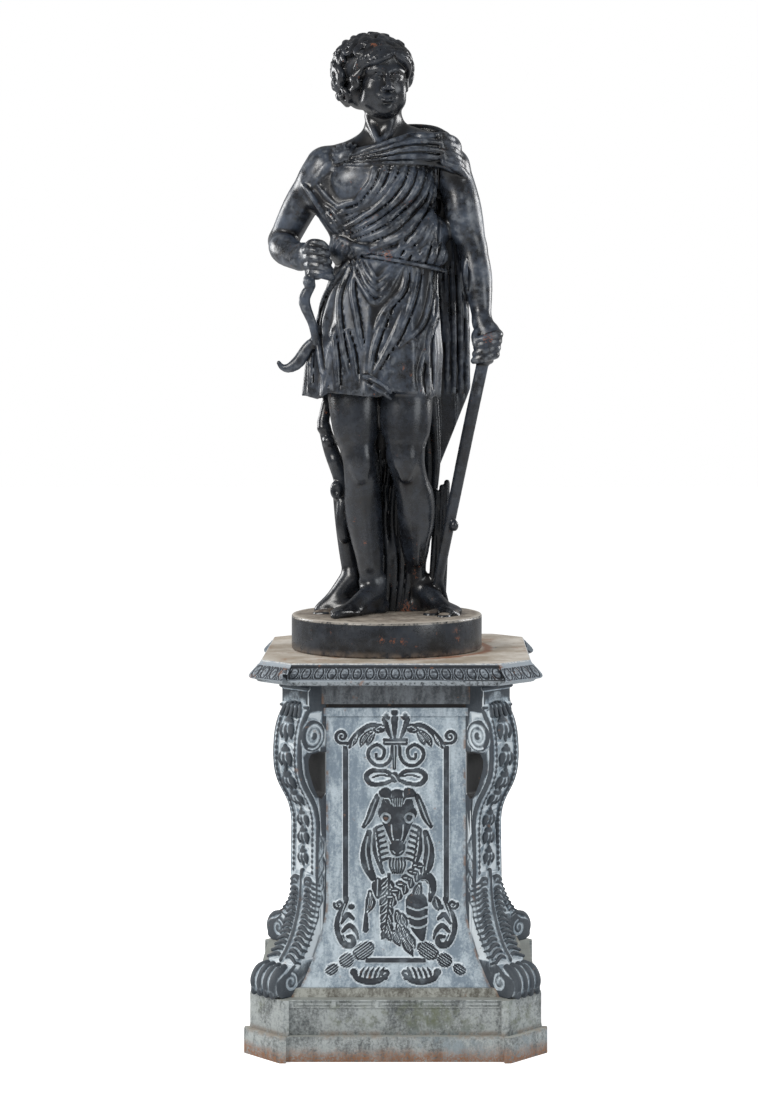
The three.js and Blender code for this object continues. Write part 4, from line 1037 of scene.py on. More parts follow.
    # Garland leaves that cross below the head.
    for i in range(7):
        h = 224 - 17 * i
        c.leaf((-16, h), (-34 + i, h - 20), 7, 6, veins=1)
        c.leaf((-16, h - 4), (-5 - i, h - 24), 7, 6, veins=1)
    c.stroke([(-14, 232), (-15, 170), (-24, 104)], [3.2, 3.2, 2.4], 6.5)
    c.dome(-37, 204, 13, 22, 6.5)
    c.groove([(-37, 222), (-38, 190)], 1.4, 3)
    for i in range(6):
        t = i / 5
        u, h = 56 - 60 * t, 248 - 62 * t
        c.leaf((u, h), (u - 20, h + 3), 7, 6.5, veins=1)
        c.leaf((u, h), (u - 3, h - 19), 7, 6.5, veins=1)
    c.leaf((-52, 196), (-60, 152), 9, 6, bend=0.1)
    c.stroke([(-60, 152), (-61, 120)], [3, 5.5], 5.5)
    c.stroke([(48, 228), (66, 226), (74, 206), (69, 180)], [6, 8.5, 7.5, 4], 6.5)
    for off in (0, 6):
        c.groove([(50, 222 - off), (64, 218 - off), (70 - off * 0.6, 196)], 1.2, 3)
    c.leaf((80, 184), (86, 160), 8, 5.5, veins=1)
    c.leaf((48, 212), (38, 176), 9, 6)
    c.stroke([(42, 174), (43, 152), (46, 128), (53, 102)], [19, 18, 14, 5], 7.5)
    for h in (162, 144, 126):
        c.groove([(24, h + 4), (44, h - 2), (63, h + 3)], 2.2, 7)
    for u, h, tip_u, tip_h in ((2, 156, 8, 130), (12, 150, 20, 126), (4, 130, 14, 104), (14, 124, 26, 98),
                               (-4, 116, 8, 88), (14, 104, 34, 68), (22, 112, 38, 84)):
        c.leaf((u, h), (tip_u, tip_h), 8.5, 6)

    def lower(side):
        c.spiral(side * 115, 171, 9.5, math.radians(0 if side > 0 else 180), 1.3, 4, 5.5, way=-side)
        c.dome(side * 101, 182, 6.5, 8, 5.5)
        c.dome(side * 90, 166, 7.5, 6.5, 5)
        c.stroke([(side * 101, 176), (side * 115, 146), (side * 117, 120), (side * 104, 92), (side * 88, 90),
                  (side * 86, 104), (side * 97, 106)], [4, 6, 6.5, 5.5, 3.4], 6, steps=36)
        c.groove([(side * 103, 172), (side * 111, 146), (side * 112, 120), (side * 104, 98)], 1.3, 3)
        c.stroke([(side * 110, 134), (side * 98, 150), (side * 86, 142)], [3.4, 5, 3], 5)
        c.stroke([(side * 108, 116), (side * 94, 128), (side * 82, 118), (side * 76, 102)], [3.4, 4.6, 4, 2], 5)
        for u, h, ru, rh in ((65, 77, 25, 17), (99, 58, 17, 15), (128, 40, 15, 11)):
            c.dome(side * u, h, ru, rh, 6.5, side * -0.6, 4.0)
            for i in range(6 if u < 100 else 4):
                t = (i - (2.5 if u < 100 else 1.5)) * 5.2
                c.groove([(side * (u - 14) + side * t * 0.5, h + 12 + t * 0.8), (side * (u + 14) + side * t * 0.5, h - 8 + t * 0.8)],
                         1.2, 3.4)
        c.stroke([(side * 84, 34), (side * 76, 22), (side * 56, 16), (side * 34, 18), (side * 18, 30)],
                 [5, 6, 6.5, 6, 4.5], 6, steps=24)
        c.spiral(side * 19, 31, 9, math.radians(-90), 1.2, 3.6, 6, way=side)
        c.dome(side * 84, 34, 8, 8, 6)
        for i in range(5):
            u = 32 + 10 * i
            c.stroke([(side * u, 24), (side * (u - 3), 34), (side * (u - 8), 42)], [2.6, 2.8, 1.4], 5)

    both(lower)
    c.stroke([(-56, 58), (56, 58)], 4.6, 5.5, 6)
    # Slight waves of the cast ground.
    c.rise = c.rise + 0.35 * np.sin(c.u * 0.045) * np.sin(c.h * 0.021 + 1.0)


def build_panel(name, quarter, cells):
    frieze = BODY_HEIGHT - 44.0
    steps = (16.0, frieze - 25, frieze - 8, frieze)
    rows = list(np.arange(0, BODY_HEIGHT - GAP - 1, BODY_HEIGHT / cells)) + [BODY_HEIGHT - GAP]
    rows = [r for r in rows if min(abs(r - edge) for edge in steps) > 1.0]
    for edge in steps:
        rows += [edge - 0.25, edge + 0.25]
    h = np.array(sorted(rows))
    lift = np.where(h < 16.0, 9.0, 0.0) + np.where((h > steps[1]) & (h < steps[2]), 5.0, 0.0) + np.where(h > frieze, 9.0, 0.0)
    base = face_distance(h) + lift
    half = base - (BRACKET_HALF + GAP) * math.sqrt(2)
    s = np.linspace(-1, 1, int(cells * 0.62))
    u = half[:, None] * s[None, :]
    hh = np.repeat(h[:, None], len(s), 1)
    seen = hh - np.interp(hh, (0, 20, 33, 47, 65, 104, 140, 180), (13, 12.3, 10.2, 8.6, 6.6, 3, 1.2, 0))
    carving = Carving(u, seen)
    carve_panel(carving)
    rise = carving.rise * np.clip((1 - np.abs(s)) * 24, 0, 1)[None, :]
    rise = np.where((hh < 16.2) | (hh > steps[2] - 4), np.minimum(rise, 0.4), rise)
    rise = np.where((hh > steps[1]) & (hh <= steps[2] - 4), np.maximum(rise - 5, 0), rise)
    mask = (rise > 1.1).astype(float)
    for _ in range(2):
        wide = np.pad(mask, 1, mode="edge")
        mask = sum(wide[a:a + mask.shape[0], b:b + mask.shape[1]] for a in range(3) for b in range(3)) / 9
    halo = np.clip(2.4 * mask, 0, 1) * (rise < 1.3)
    front = np.dstack([u, -(base[:, None] + rise), BASE_TOP + hh]).reshape(-1, 3)
    inner = np.where(h > frieze - 30, FACE, face_distance(h)) - PLATE
    inner_half = inner - (BRACKET_HALF + GAP) * math.sqrt(2)
    left = np.column_stack([-inner_half, -inner, BASE_TOP + h])
    right = left * (-1, 1, 1)
    n, m = hh.shape
    grid = np.arange(n * m).reshape(n, m)
    a, b, c, d = grid[:-1, :-1].ravel(), grid[:-1, 1:].ravel(), grid[1:, 1:].ravel(), grid[1:, :-1].ravel()
    low, high = n * m + np.arange(n), n * m + n + np.arange(n)
    parts = [(a, b, c), (a, c, d), (low[:-1], low[1:], high[1:]), (low[:-1], high[1:], high[:-1]),
             (grid[:-1, 0], grid[1:, 0], low[1:]), (grid[:-1, 0], low[1:], low[:-1]),
             (grid[1:, -1], grid[:-1, -1], high[:-1]), (grid[1:, -1], high[:-1], high[1:]),
             (grid[0, 1:], grid[0, :-1], np.full(m - 1, low[0])), (grid[0, -1:], low[:1], high[:1]),
             (grid[-1, :-1], grid[-1, 1:], np.full(m - 1, low[-1])), (grid[-1, -1:], high[-1:], low[-1:])]
    faces = np.vstack([np.column_stack(p) for p in parts])
    made = mesh_object(name, np.vstack([front, left, right]), faces)
    smooth_shaded(made, 40)
    mark_hollows(made, 2, 12)
    layer = made.data.attributes.new("halo", "FLOAT", "POINT")
    layer.data.foreach_set("value", np.r_[halo.ravel(), np.zeros(2 * n)].astype(np.float32))
    made.data.transform(Matrix.Rotation(quarter * math.pi / 2, 4, "Z"))
    return made


# Corner brackets

def bracket_outline():
    foot, waist, bulge, block, root = 371.0, 265.0, 314.0, 289.0, 226.0
    top = BODY_HEIGHT - GAP
    block_low = BODY_HEIGHT - 52.0
    line = [(root, 0.0), (foot - 14, 0.0)]

    def bend(*points):
        start = np.array(line[-1])
        p = [start] + [np.array(q, float) for q in points]
        for t in np.linspace(0.1, 1, 10):
            q = p
            while len(q) > 1:
                q = [a * (1 - t) + b * t for a, b in zip(q[:-1], q[1:])]
            line.append(tuple(q[0]))

    bend((foot + 2, 12), (foot, 30))
    bend((foot - 3, 44), (foot - 26, 48))
    bend((foot - 58, 66), (waist + 14, 104), (waist + 2, 187))
    line.append((waist, 330.0))
    bend((waist, 396), (bulge, 398), (bulge, 474))
    bend((bulge, 534), (block + 12, block_low - 18), (block, block_low))
    line += [(block, top), (root, top)]
    return np.array(line)


def polygon_distance(px, py, outline):
    """Signed distance to a closed outline, below zero inside."""
    best = np.full(px.shape, 1e9)
    inside = np.zeros(px.shape, bool)
    for (ax, ay), (bx, by) in zip(outline, np.roll(outline, -1, 0)):
        ex, ey = bx - ax, by - ay
        t = np.clip(((px - ax) * ex + (py - ay) * ey) / max(ex * ex + ey * ey, 1e-9), 0, 1)
        best = np.minimum(best, np.hypot(px - ax - t * ex, py - ay - t * ey))
        crosses = (ay > py) != (by > py)
        if by != ay:
            inside ^= crosses & (px < ex * (py - ay) / (by - ay) + ax)
    return np.where(inside, -best, best)


def bracket_reach(height, outline):
    """Outer face of the bracket at a height."""
    reach = 0.0
    for (ax, ay), (bx, by) in zip(outline, np.roll(outline, -1, 0)):
        if (ay - height) * (by - height) <= 0 and ay != by:
            reach = max(reach, ax + (bx - ax) * (height - ay) / (by - ay))
    return reach


GAP_OUTLINE = np.array([(243, 396), (252, 388), (262, 398), (272, 418), (282, 446), (284, 466), (276, 478), (243, 478)])


def mark_gap(obj):
    """Stores where the open gap behind the upper scroll lies in shade."""
    count = len(obj.data.vertices)
    co = np.empty(count * 3, np.float32)
    obj.data.vertices.foreach_get("co", co)
    x, y, z = co.reshape(-1, 3).T / MM
    inside = (polygon_distance(x, z - BASE_TOP, GAP_OUTLINE) < 2.2) & ((x < 262) | (np.abs(y) < BRACKET_HALF - 4.5))
    layer = obj.data.attributes.new("shade", "FLOAT", "POINT")
    layer.data.foreach_set("value", inside.astype(np.float32))


def model_bracket(cell):
    outline = bracket_outline()
    clay = Clay((216, -52, -6), (392, 52, BODY_HEIGHT + 6), cell)
    x, y, z = clay.axes
    d2 = polygon_distance(*np.meshgrid(x, z, indexing="ij"), outline)
    side = np.abs(y) - BRACKET_HALF
    a, b = d2[:, None, :], side[None, :, None]
    d = np.maximum(a, b)
    r = 3.0
    round_edge = np.hypot(np.maximum(a + r, 0), np.maximum(b + r, 0)) - r
    soft_part = (a > -r) & (b > -r) & (z[None, None, :] > 4) & (x[:, None, None] > 246)
    clay.d = np.where(soft_part, round_edge, d).astype(np.float32)
    whole = (slice(None),) * 3
    # Sunk field on the cheeks inside a raised border.
    for sign in (-1, 1):
        field = np.maximum(d2[:, None, :] + 10.0, -(sign * y[None, :, None] - (BRACKET_HALF - 3.5)))
        field = np.maximum(field, (254 - x)[:, None, None])
        field = np.maximum(field, (70 - z)[None, None, :])
        field = np.maximum(field, (z - 560)[None, None, :])
        clay.put(whole, field.astype(np.float32), 1.5, cut=True)
    # Sunk strip down the front between the bead lines.
    strip = np.maximum(-(d2[:, None, :] + 4.0), np.abs(y)[None, :, None] - 24.0)
    strip = np.maximum(strip, (236 - z)[None, None, :])
    strip = np.maximum(strip, (z - 556)[None, None, :])
    strip = np.maximum(strip, (250 - x)[:, None, None])
    clay.put(whole, strip.astype(np.float32), 1.5, cut=True)
    gap = polygon_distance(*np.meshgrid(x, z, indexing="ij"), GAP_OUTLINE)
    clay.put(whole, np.repeat(gap[:, None, :], len(y), 1).astype(np.float32), 2.0, cut=True)
    # Volutes on both cheeks, with their spiral grooves.
    for sign in (-1, 1):
        disc = np.hypot(x[:, None] - 276, z[None, :] - 515)[:, None, :] - 31
        disc = np.maximum(disc, (sign * y - 43.0)[None, :, None])
        disc = np.maximum(disc, (20.0 - sign * y)[None, :, None])
        clay.put(whole, disc.astype(np.float32), 2.0)
        clay.oval((276, sign * 43, 515), (8, 4, 8), 1.5)
        turn = []
        for i in range(34):
            t = i / 33
            ang = math.radians(-60) - 2 * math.pi * 1.8 * t
            far = 27 * (1 - 0.72 * t)
            turn.append((276 + far * math.cos(ang), sign * 44.5, 515 + far * math.sin(ang)))
        clay.chain(turn, [3.6, 2.6], 1.2, True, steps=66)
        heel = []
        for i in range(20):
            t = i / 19
            ang = math.radians(100) + 2 * math.pi * 1.3 * t
            far = 17 * (1 - 0.75 * t)
            heel.append((334 + far * math.cos(ang), sign * 41.5, 30 + far * math.sin(ang)))
        clay.chain(heel, [3.2, 2.4], 1.2, True, steps=40)
        # Leaf lines that climb the cheek.
        for i in range(6):
            low = 90 + 34 * i
            edge = bracket_reach(low, outline)
            clay.chain([(edge - 8, sign * 38, low), (edge - 20, sign * 38.5, low + 24), (258, sign * 38, low + 58)], [2.4, 3.2, 1.4], 1.5)
    # Shell under the top block and its moulding.
    clay.oval((300, 0, 572), (26, 32, 16), 3, True)
    for i in range(5):
        clay.chain([(280, -20 + 10 * i, 586), (294, -24 + 12 * i, 570), (300, -27 + 13.5 * i, 556)], [3, 5, 4.5], 1.2)
    clay.chain([(290, -40, 573), (290, 40, 573)], 3.5, 1.5)
    clay.chain([(290, -40, 612), (290, 40, 612)], 4.5, 1.5)
    # Husks down the front, each a round cap with three lobes below.
    for i, h in enumerate((531, 475, 427, 390, 345, 309, 268)):
        size = 1.18 - 0.05 * i
        lean = (bracket_reach(h - 12, outline) - bracket_reach(h + 12, outline)) / 24.0
        reach = bracket_reach(h, outline) - 2.0

        def spot(out, off, up):
            return (reach + out - lean * up, off * size, h + up * size)

        clay.oval(spot(1, 0, 10), (7, 11 * size, 8 * size), 2)
        for off, drop in ((0, -22), (-11, -17), (11, -17)):
            clay.chain([spot(0, off * 0.4, 8), spot(2.5, off, -3), spot(1, off * 1.05, drop)], [4.5 * size, 6.6 * size, 2.4], 1.2)
        clay.oval(spot(3, 0, 18), (4, 4.5, 5), 1.5)
    for off in (-28, 28):
        path = [(bracket_reach(h, outline) - 1.5, off, h) for h in range(560, 230, -15)]
        clay.chain(path, 3.2, 1.2, steps=50)
        for h in range(556, 236, -11):
            clay.oval((bracket_reach(h, outline) + 0.5, off, h), (3.4, 3.4, 4.4), 1.0)
    # Acanthus leaf over the instep, with a scalloped tuft at its top.
    spine = [(bracket_reach(h, outline) + 2.0, 0, h) for h in (238, 210, 180, 155, 130, 105, 84, 66)]
    clay.chain(spine, [5, 7, 7.5, 6.5], 2, steps=24)
    for i in range(5):
        off = -26 + 13 * i
        clay.chain([(bracket_reach(212, outline), off * 0.5, 206), (bracket_reach(226, outline) + 2, off, 228 - abs(off) * 0.5)], [5, 5.5], 1.5)
    for i in range(15):
        h = 216 - 10.6 * i
        for sign in (-1, 1):
            p0 = (bracket_reach(h, outline) + 0.5, sign * 4, h)
            p1 = (bracket_reach(h + 4, outline) + 3.5, sign * 19, h + 8)
            p2 = (bracket_reach(h - 4, outline) + 1.5, sign * (33 + 0.5 * i), h)
            clay.chain([p0, p1, p2], [2.8, 4.4, 3.2], 1.0)
            clay.chain([p2, (bracket_reach(h, outline) - 9, sign * 41.0, h - 5)], [3.4, 2.2], 1.2)
    # Paw: four toes with claws and the hollows between them.
    for i in range(4):
        off = -28 + 18.6 * i
        clay.chain([(340, off * 0.9, 58), (358, off, 50), (371, off, 31), (368, off, 10)], [7, 10, 9.5, 8.5], 1.2, steps=12)
        clay.chain([(371, off, 22), (376, off, 9), (372, off, 1)], [5.5, 4.5, 3.0], 1.0)
        clay.chain([(352, off, 61), (370, off, 44)], [1.6, 1.6], 1.0, True)
        if i:
            clay.chain([(350, off - 9.3, 62), (376, off - 9.3, 38), (378, off - 9.3, 4)], [2.2, 3.2, 2.6], 1.2, True)
    # Keep the piece within its own room.
    clay.d = np.maximum(clay.d, (0.0 - z)[None, None, :])
    clay.d = np.maximum(clay.d, (z - (BODY_HEIGHT - GAP))[None, None, :])
    near = x[:, None, None] < 246.0
    clay.d = np.where(near, np.maximum(clay.d, np.abs(y)[None, :, None] - BRACKET_HALF), clay.d).astype(np.float32)
    clay.d = np.maximum(clay.d, (226.0 - x)[:, None, None])
    points, quads = clay.skin()
    points[:, 2] = np.clip(points[:, 2], 0.0, BODY_HEIGHT - GAP)
    points[:, 2] += BASE_TOP
    return points, quads


# Cap and base

def canted_ring(half, cant, samples):
    """Points round a square with canted corners, evenly spread."""
    arris = half - cant
    corners = []
    for quarter in range(4):
        for x in (-arris, arris):
            c, s = math.cos(quarter * math.pi / 2), math.sin(quarter * math.pi / 2)
            corners.append((x * c + half * s, x * s - half * c))
    corners = np.array(corners)
    out = []
    for a, b, n in zip(corners, np.roll(corners, -1, 0), samples):
        t = np.arange(n)[:, None] / n
        out.append(a * (1 - t) + b * t)
    return np.vstack(out)


def build_cap(samples, triangles):
    long_side, short_side = samples
    counts = [long_side, short_side] * 4
    keys = ((266, 0.0, 70), (272, 0.6, 70), (279, 3, 71), (281, 6, 72), (285, 8, 73), (292, 10, 75), (295.5, 12.5, 76),
            (296, 16, 76), (294.5, 19, 76), (292, 22, 75), (289.5, 25, 74), (287, 28, 73), (284.5, 31, 72),
            (281.5, 34, 70), (279, 37, 68), (276, 39, 67), (274.5, 41, 66), (273, 44, 65), (271, 46, 64))
    half_at, tall, cant_at = np.array(keys).T
    side_z = (0, 1, 3, 9, 11, 12.5, 16, 20, 26, 34, 37, 38.5, 40, 44, 46)
    side_y = (266, 270, 273, 274.5, 274.5, 270, 269, 271, 274, 275, 272, 270.5, 273, 273, 271)
    rows = [(150.0, 0.0, 70.0)]
    rows += [(np.interp(z, tall, half_at), z, np.interp(z, tall, cant_at)) for z in np.unique(np.r_[np.arange(0, 46, 1.2), tall])]
    rows += [(262.0, 46.0, 62.0), (150.0, 46.0, 40.0)]
    spans = np.concatenate([np.arange(n) / n for n in counts])
    is_long = np.concatenate([np.full(n, i % 2 == 0) for i, n in enumerate(counts)])
    out = []
    for quarter in range(4):
        c, s = math.cos(quarter * math.pi / 2), math.sin(quarter * math.pi / 2)
        out += [np.tile((s, -c), (long_side, 1)), np.tile(((s + c) / math.sqrt(2), (s - c) / math.sqrt(2)), (short_side, 1))]
    out = np.vstack(out)
    phase = (spans * np.where(is_long, 17, 4)) % 1.0
    rings = []
    for half, height, cant in rows:
        ring = canted_ring(half, cant, counts)
        band = (height - 14.0) / 23.0
        push = np.zeros(len(ring))
        if 0 < band < 1:
            egg = np.clip(1 - ((phase - 0.5) / 0.30) ** 2 - ((band - 0.52) / 0.46) ** 2, 0, 1) ** 0.5
            shell = 1 - np.abs(np.hypot((phase - 0.5) / 0.41, (band - 0.52) / 0.62) - 1) / 0.16
            dart = (1 - np.minimum(phase, 1 - phase) / 0.07) * (1 - abs(band - 0.35))
            push = 4.6 * egg + 3.4 * np.clip(shell, 0, 1) + 3.0 * np.clip(dart, 0, 1) - 2.0
            push *= 0.8 * min(1.0, 8 * band, 8 * (1 - band))
        if half > 200:
            inset = np.where(is_long & (spans > 0.001), np.minimum(half, np.interp(height, side_z, side_y)) - half, 0.0)
            push = push + inset
        rings.append(np.column_stack([ring + out * push[:, None], np.full(len(ring), CAP_BOTTOM + height)]))
    n = len(rings[0])
    points = np.vstack(rings)
    points[:, :2] = np.clip(points[:, :2], -297.5, 297.5)
    faces = []
    for row in range(len(rings) - 1):
        a = row * n + np.arange(n)
        b = row * n + (np.arange(n) + 1) % n
        faces.append(np.column_stack([a, b, b + n, a + n]))
    made = mesh_object("cap_casting", points, np.vstack(faces))
    only(made)
    bpy.ops.object.mode_set(mode="EDIT")
    bpy.ops.mesh.select_all(action="SELECT")
    bpy.ops.mesh.fill_holes(sides=0)
    bpy.ops.mesh.normals_make_consistent(inside=False)
    bpy.ops.object.mode_set(mode="OBJECT")
    cut_box(made, (-150, -150, CAP_BOTTOM - 10), (150, 150, CAP_TOP - 12))
    cut_box(made, (-224, -320, CAP_BOTTOM - 1), (-214, -262, CAP_BOTTOM + 26), turn=0.06)
    bpy.ops.mesh.primitive_cylinder_add(vertices=20, radius=5 * MM, depth=0.1, location=(0, 0, 0))
    bolt = bpy.context.object
    bolt.data.transform(Matrix.Translation((206 * MM, 0, CAP_TOP * MM)))
    subtract(made, bolt)
    thinned(made, triangles)
    smooth_shaded(made, 35)
    mark_hollows(made, 2, 8)
    return made


def subtract(obj, tool):
    only(obj)
    cut = obj.modifiers.new("Cut", "BOOLEAN")
    cut.operation = "DIFFERENCE"
    cut.solver = "MANIFOLD"
    cut.object = tool
    bpy.ops.object.modifier_apply(modifier=cut.name)
    bpy.data.objects.remove(tool)


def box(low, high, turn=0.0):
    bpy.ops.mesh.primitive_cube_add(size=1)
    made = bpy.context.object
    low, high = np.array(low, float), np.array(high, float)
    size, middle = (high - low) * MM, (high + low) / 2 * MM
    made.data.transform(Matrix.Translation(Vector(middle)) @ Matrix.Rotation(turn, 4, "Z") @ Matrix.Diagonal((*size, 1)))
    return made


def cut_box(obj, low, high, turn=0.0):
    subtract(obj, box(low, high, turn))


def canted_solid(half, cant, low, high):
    ring = canted_ring(half, cant, [1] * 8)
    points = np.vstack([np.column_stack([ring, np.full(8, low)]), np.column_stack([ring, np.full(8, high)])])
    sides = [(i, (i + 1) % 8, (i + 1) % 8 + 8, i + 8) for i in range(8)]
    mesh = bpy.data.meshes.new("canted")
    mesh.from_pydata([tuple(p * MM) for p in points], [], [tuple(range(7, -1, -1)), tuple(range(8, 16))] + sides)
    made = bpy.data.objects.new("canted", mesh)
    bpy.context.collection.objects.link(made)
    return made


def build_base_frame(name, half, cant, wall, low, height, band):
    made = canted_solid(half, cant, low, low + height)
    made.name = name
    hole = half - wall
    arris = 2 * half - cant - 70 * math.sqrt(2) - hole
    subtract(made, canted_solid(hole, hole - arris, low - 1, low + height + 1))
    end = half - cant - 14
    for quarter in range(4):
        tool = box((-end, -half - 2, low - 1), (end, -half + 10, low + height + 1))
        tool.data.transform(Matrix.Rotation(quarter * math.pi / 2, 4, "Z"))
        subtract(made, tool)
    if band:
        front = half - 10
        for quarter in range(4):
            bars = [(-end, end, low + height - 2.5, low + height, 3.0), (-end, end, low + height - 16, low + height - 14, 3.0)]
            count = 5
            for i in range(count):
                step = 2 * end / count
                start = -end + step * i
                bars.append((start, start + 9, low + height - 14.5, low + height - 2, 2.6))
                bars.append((start + 15, start + step - 6, low + height - 10.5, low + height - 6.5, 2.2))
            for x0, x1, z0, z1, out in bars:
                piece = box((x0, -front - out, z0), (x1, -front + 2, z1))
                piece.data.transform(Matrix.Rotation(quarter * math.pi / 2, 4, "Z"))
                only(made)
                join = made.modifiers.new("Join", "BOOLEAN")
                join.operation = "UNION"
                join.solver = "MANIFOLD"
                join.object = piece
                bpy.ops.object.modifier_apply(modifier=join.name)
                bpy.data.objects.remove(piece)
    applied(made, "BEVEL", width=1.3 * MM, segments=2, limit_method="ANGLE", angle_limit=math.radians(40))
    smooth_shaded(made, 35)
    return made


# Materials

def group(name, inputs, outputs, build):
    """A node group with named inputs and outputs."""
    tree = bpy.data.node_groups.get(name)
    if tree:
        return tree
    tree = bpy.data.node_groups.new(name, "ShaderNodeTree")
    for label, kind, value in inputs:
        socket = tree.interface.new_socket(name=label, in_out="INPUT", socket_type=kind)
        if value is not None:
            socket.default_value = value
    for label, kind in outputs:
        tree.interface.new_socket(name=label, in_out="OUTPUT", socket_type=kind)
    start = tree.nodes.new("NodeGroupInput")
    end = tree.nodes.new("NodeGroupOutput")
    build(Wires(tree), start.outputs, end.inputs)
    return tree


class Wires:
    """Short calls that add and join shader nodes."""

    def __init__(self, tree):
        self.tree = tree

    def node(self, kind, inputs=None, **values):
        made = self.tree.nodes.new(kind)
        for key, value in values.items():
            setattr(made, key, value)
        for key, value in (inputs or {}).items():
            socket = made.inputs[key]
            if isinstance(value, bpy.types.NodeSocket):
                self.tree.links.new(value, socket)
            else:
                socket.default_value = value
        return made

    def math(self, operation, a, b=0.0, clamp=False):
        return self.node("ShaderNodeMath", {0: a, 1: b}, operation=operation, use_clamp=clamp).outputs[0]

    def noise(self, vector, scale, detail=4.0, rough=0.6):
        made = self.node("ShaderNodeTexNoise", {"Vector": vector, "Scale": scale, "Detail": detail, "Roughness": rough})
        return made.outputs["Fac"]

    def ramp(self, value, low, high):
        made = self.node("ShaderNodeMapRange", {"Value": value, "From Min": low, "From Max": high})
        made.interpolation_type = "SMOOTHSTEP"
        return made.outputs["Result"]

    def mix(self, share, a, b):
        made = self.node("ShaderNodeMix", data_type="RGBA")
        for socket, value in ((made.inputs[0], share), (made.inputs[6], a), (made.inputs[7], b)):
            if isinstance(value, bpy.types.NodeSocket):
                self.tree.links.new(value, socket)
            else:
                socket.default_value = value
        return made.outputs[2]

    def join(self, a, b):
        self.tree.links.new(a, b)


def patches_group():
    """Large and small uneven patches of wear."""
    def build(w, given, out):
        wide = w.noise(given["Vector"], 9.0, 6.0, 0.65)
        fine = w.noise(given["Vector"], 60.0, 5.0, 0.7)
        both = w.math("ADD", w.math("MULTIPLY", wide, 0.65), w.math("MULTIPLY", fine, 0.35))
        low = w.math("SUBTRACT", 1.0, given["Amount"])
        scaled = w.math("ADD", w.math("MULTIPLY", low, 0.30), 0.36)
        high = w.math("ADD", scaled, given["Edge"])
        w.join(w.ramp(both, scaled, high), out["Mask"])
    return group("Patches", [("Vector", "NodeSocketVector", None), ("Amount", "NodeSocketFloat", 0.5),
                             ("Edge", "NodeSocketFloat", 0.08)], [("Mask", "NodeSocketFloat")], build)


def spot_group():
    """A round area about a place, broken up by fine noise."""
    def build(w, given, out):
        gap = w.node("ShaderNodeVectorMath", {0: given["Vector"], 1: given["Place"]}, operation="DISTANCE").outputs["Value"]
        near = w.math("SUBTRACT", 1.0, w.math("DIVIDE", gap, given["Radius"]), clamp=True)
        rough = w.math("MULTIPLY", w.math("SUBTRACT", w.noise(given["Vector"], 230.0, 4.0, 0.75), 0.5), 3.4)
        w.join(w.ramp(w.math("ADD", w.math("MULTIPLY", near, 0.85), rough), 0.55, 0.85), out["Mask"])
    return group("Rust Spot", [("Vector", "NodeSocketVector", None), ("Place", "NodeSocketVector", None),
                               ("Radius", "NodeSocketFloat", 0.02)], [("Mask", "NodeSocketFloat")], build)


def start_material(name):
    material = bpy.data.materials.new(name)
    material.use_nodes = True
    tree = material.node_tree
    tree.nodes.clear()
    w = Wires(tree)
    out = w.node("ShaderNodeOutputMaterial")
    shader = w.node("ShaderNodeBsdfPrincipled")
    w.join(shader.outputs[0], out.inputs[0])
    place = w.node("ShaderNodeTexCoord").outputs["Object"]
    return material, w, shader, place


def attribute(w, name):
    return w.node("ShaderNodeAttribute", attribute_name=name, attribute_type="GEOMETRY").outputs["Fac"]


def patches(w, place, amount, edge=0.08):
    made = w.node("ShaderNodeGroup")
    made.node_tree = patches_group()
    w.join(place, made.inputs["Vector"])
    made.inputs["Amount"].default_value = amount
    made.inputs["Edge"].default_value = edge
    return made.outputs["Mask"]


def colour(r, g, b):
    return (r, g, b, 1.0)


def band(w, value, low, high, edge=0.0006):
    """One between two limits of a value, zero outside."""
    return w.math("MULTIPLY", w.ramp(value, low - edge, low + edge), w.ramp(value, high + edge, high - edge))


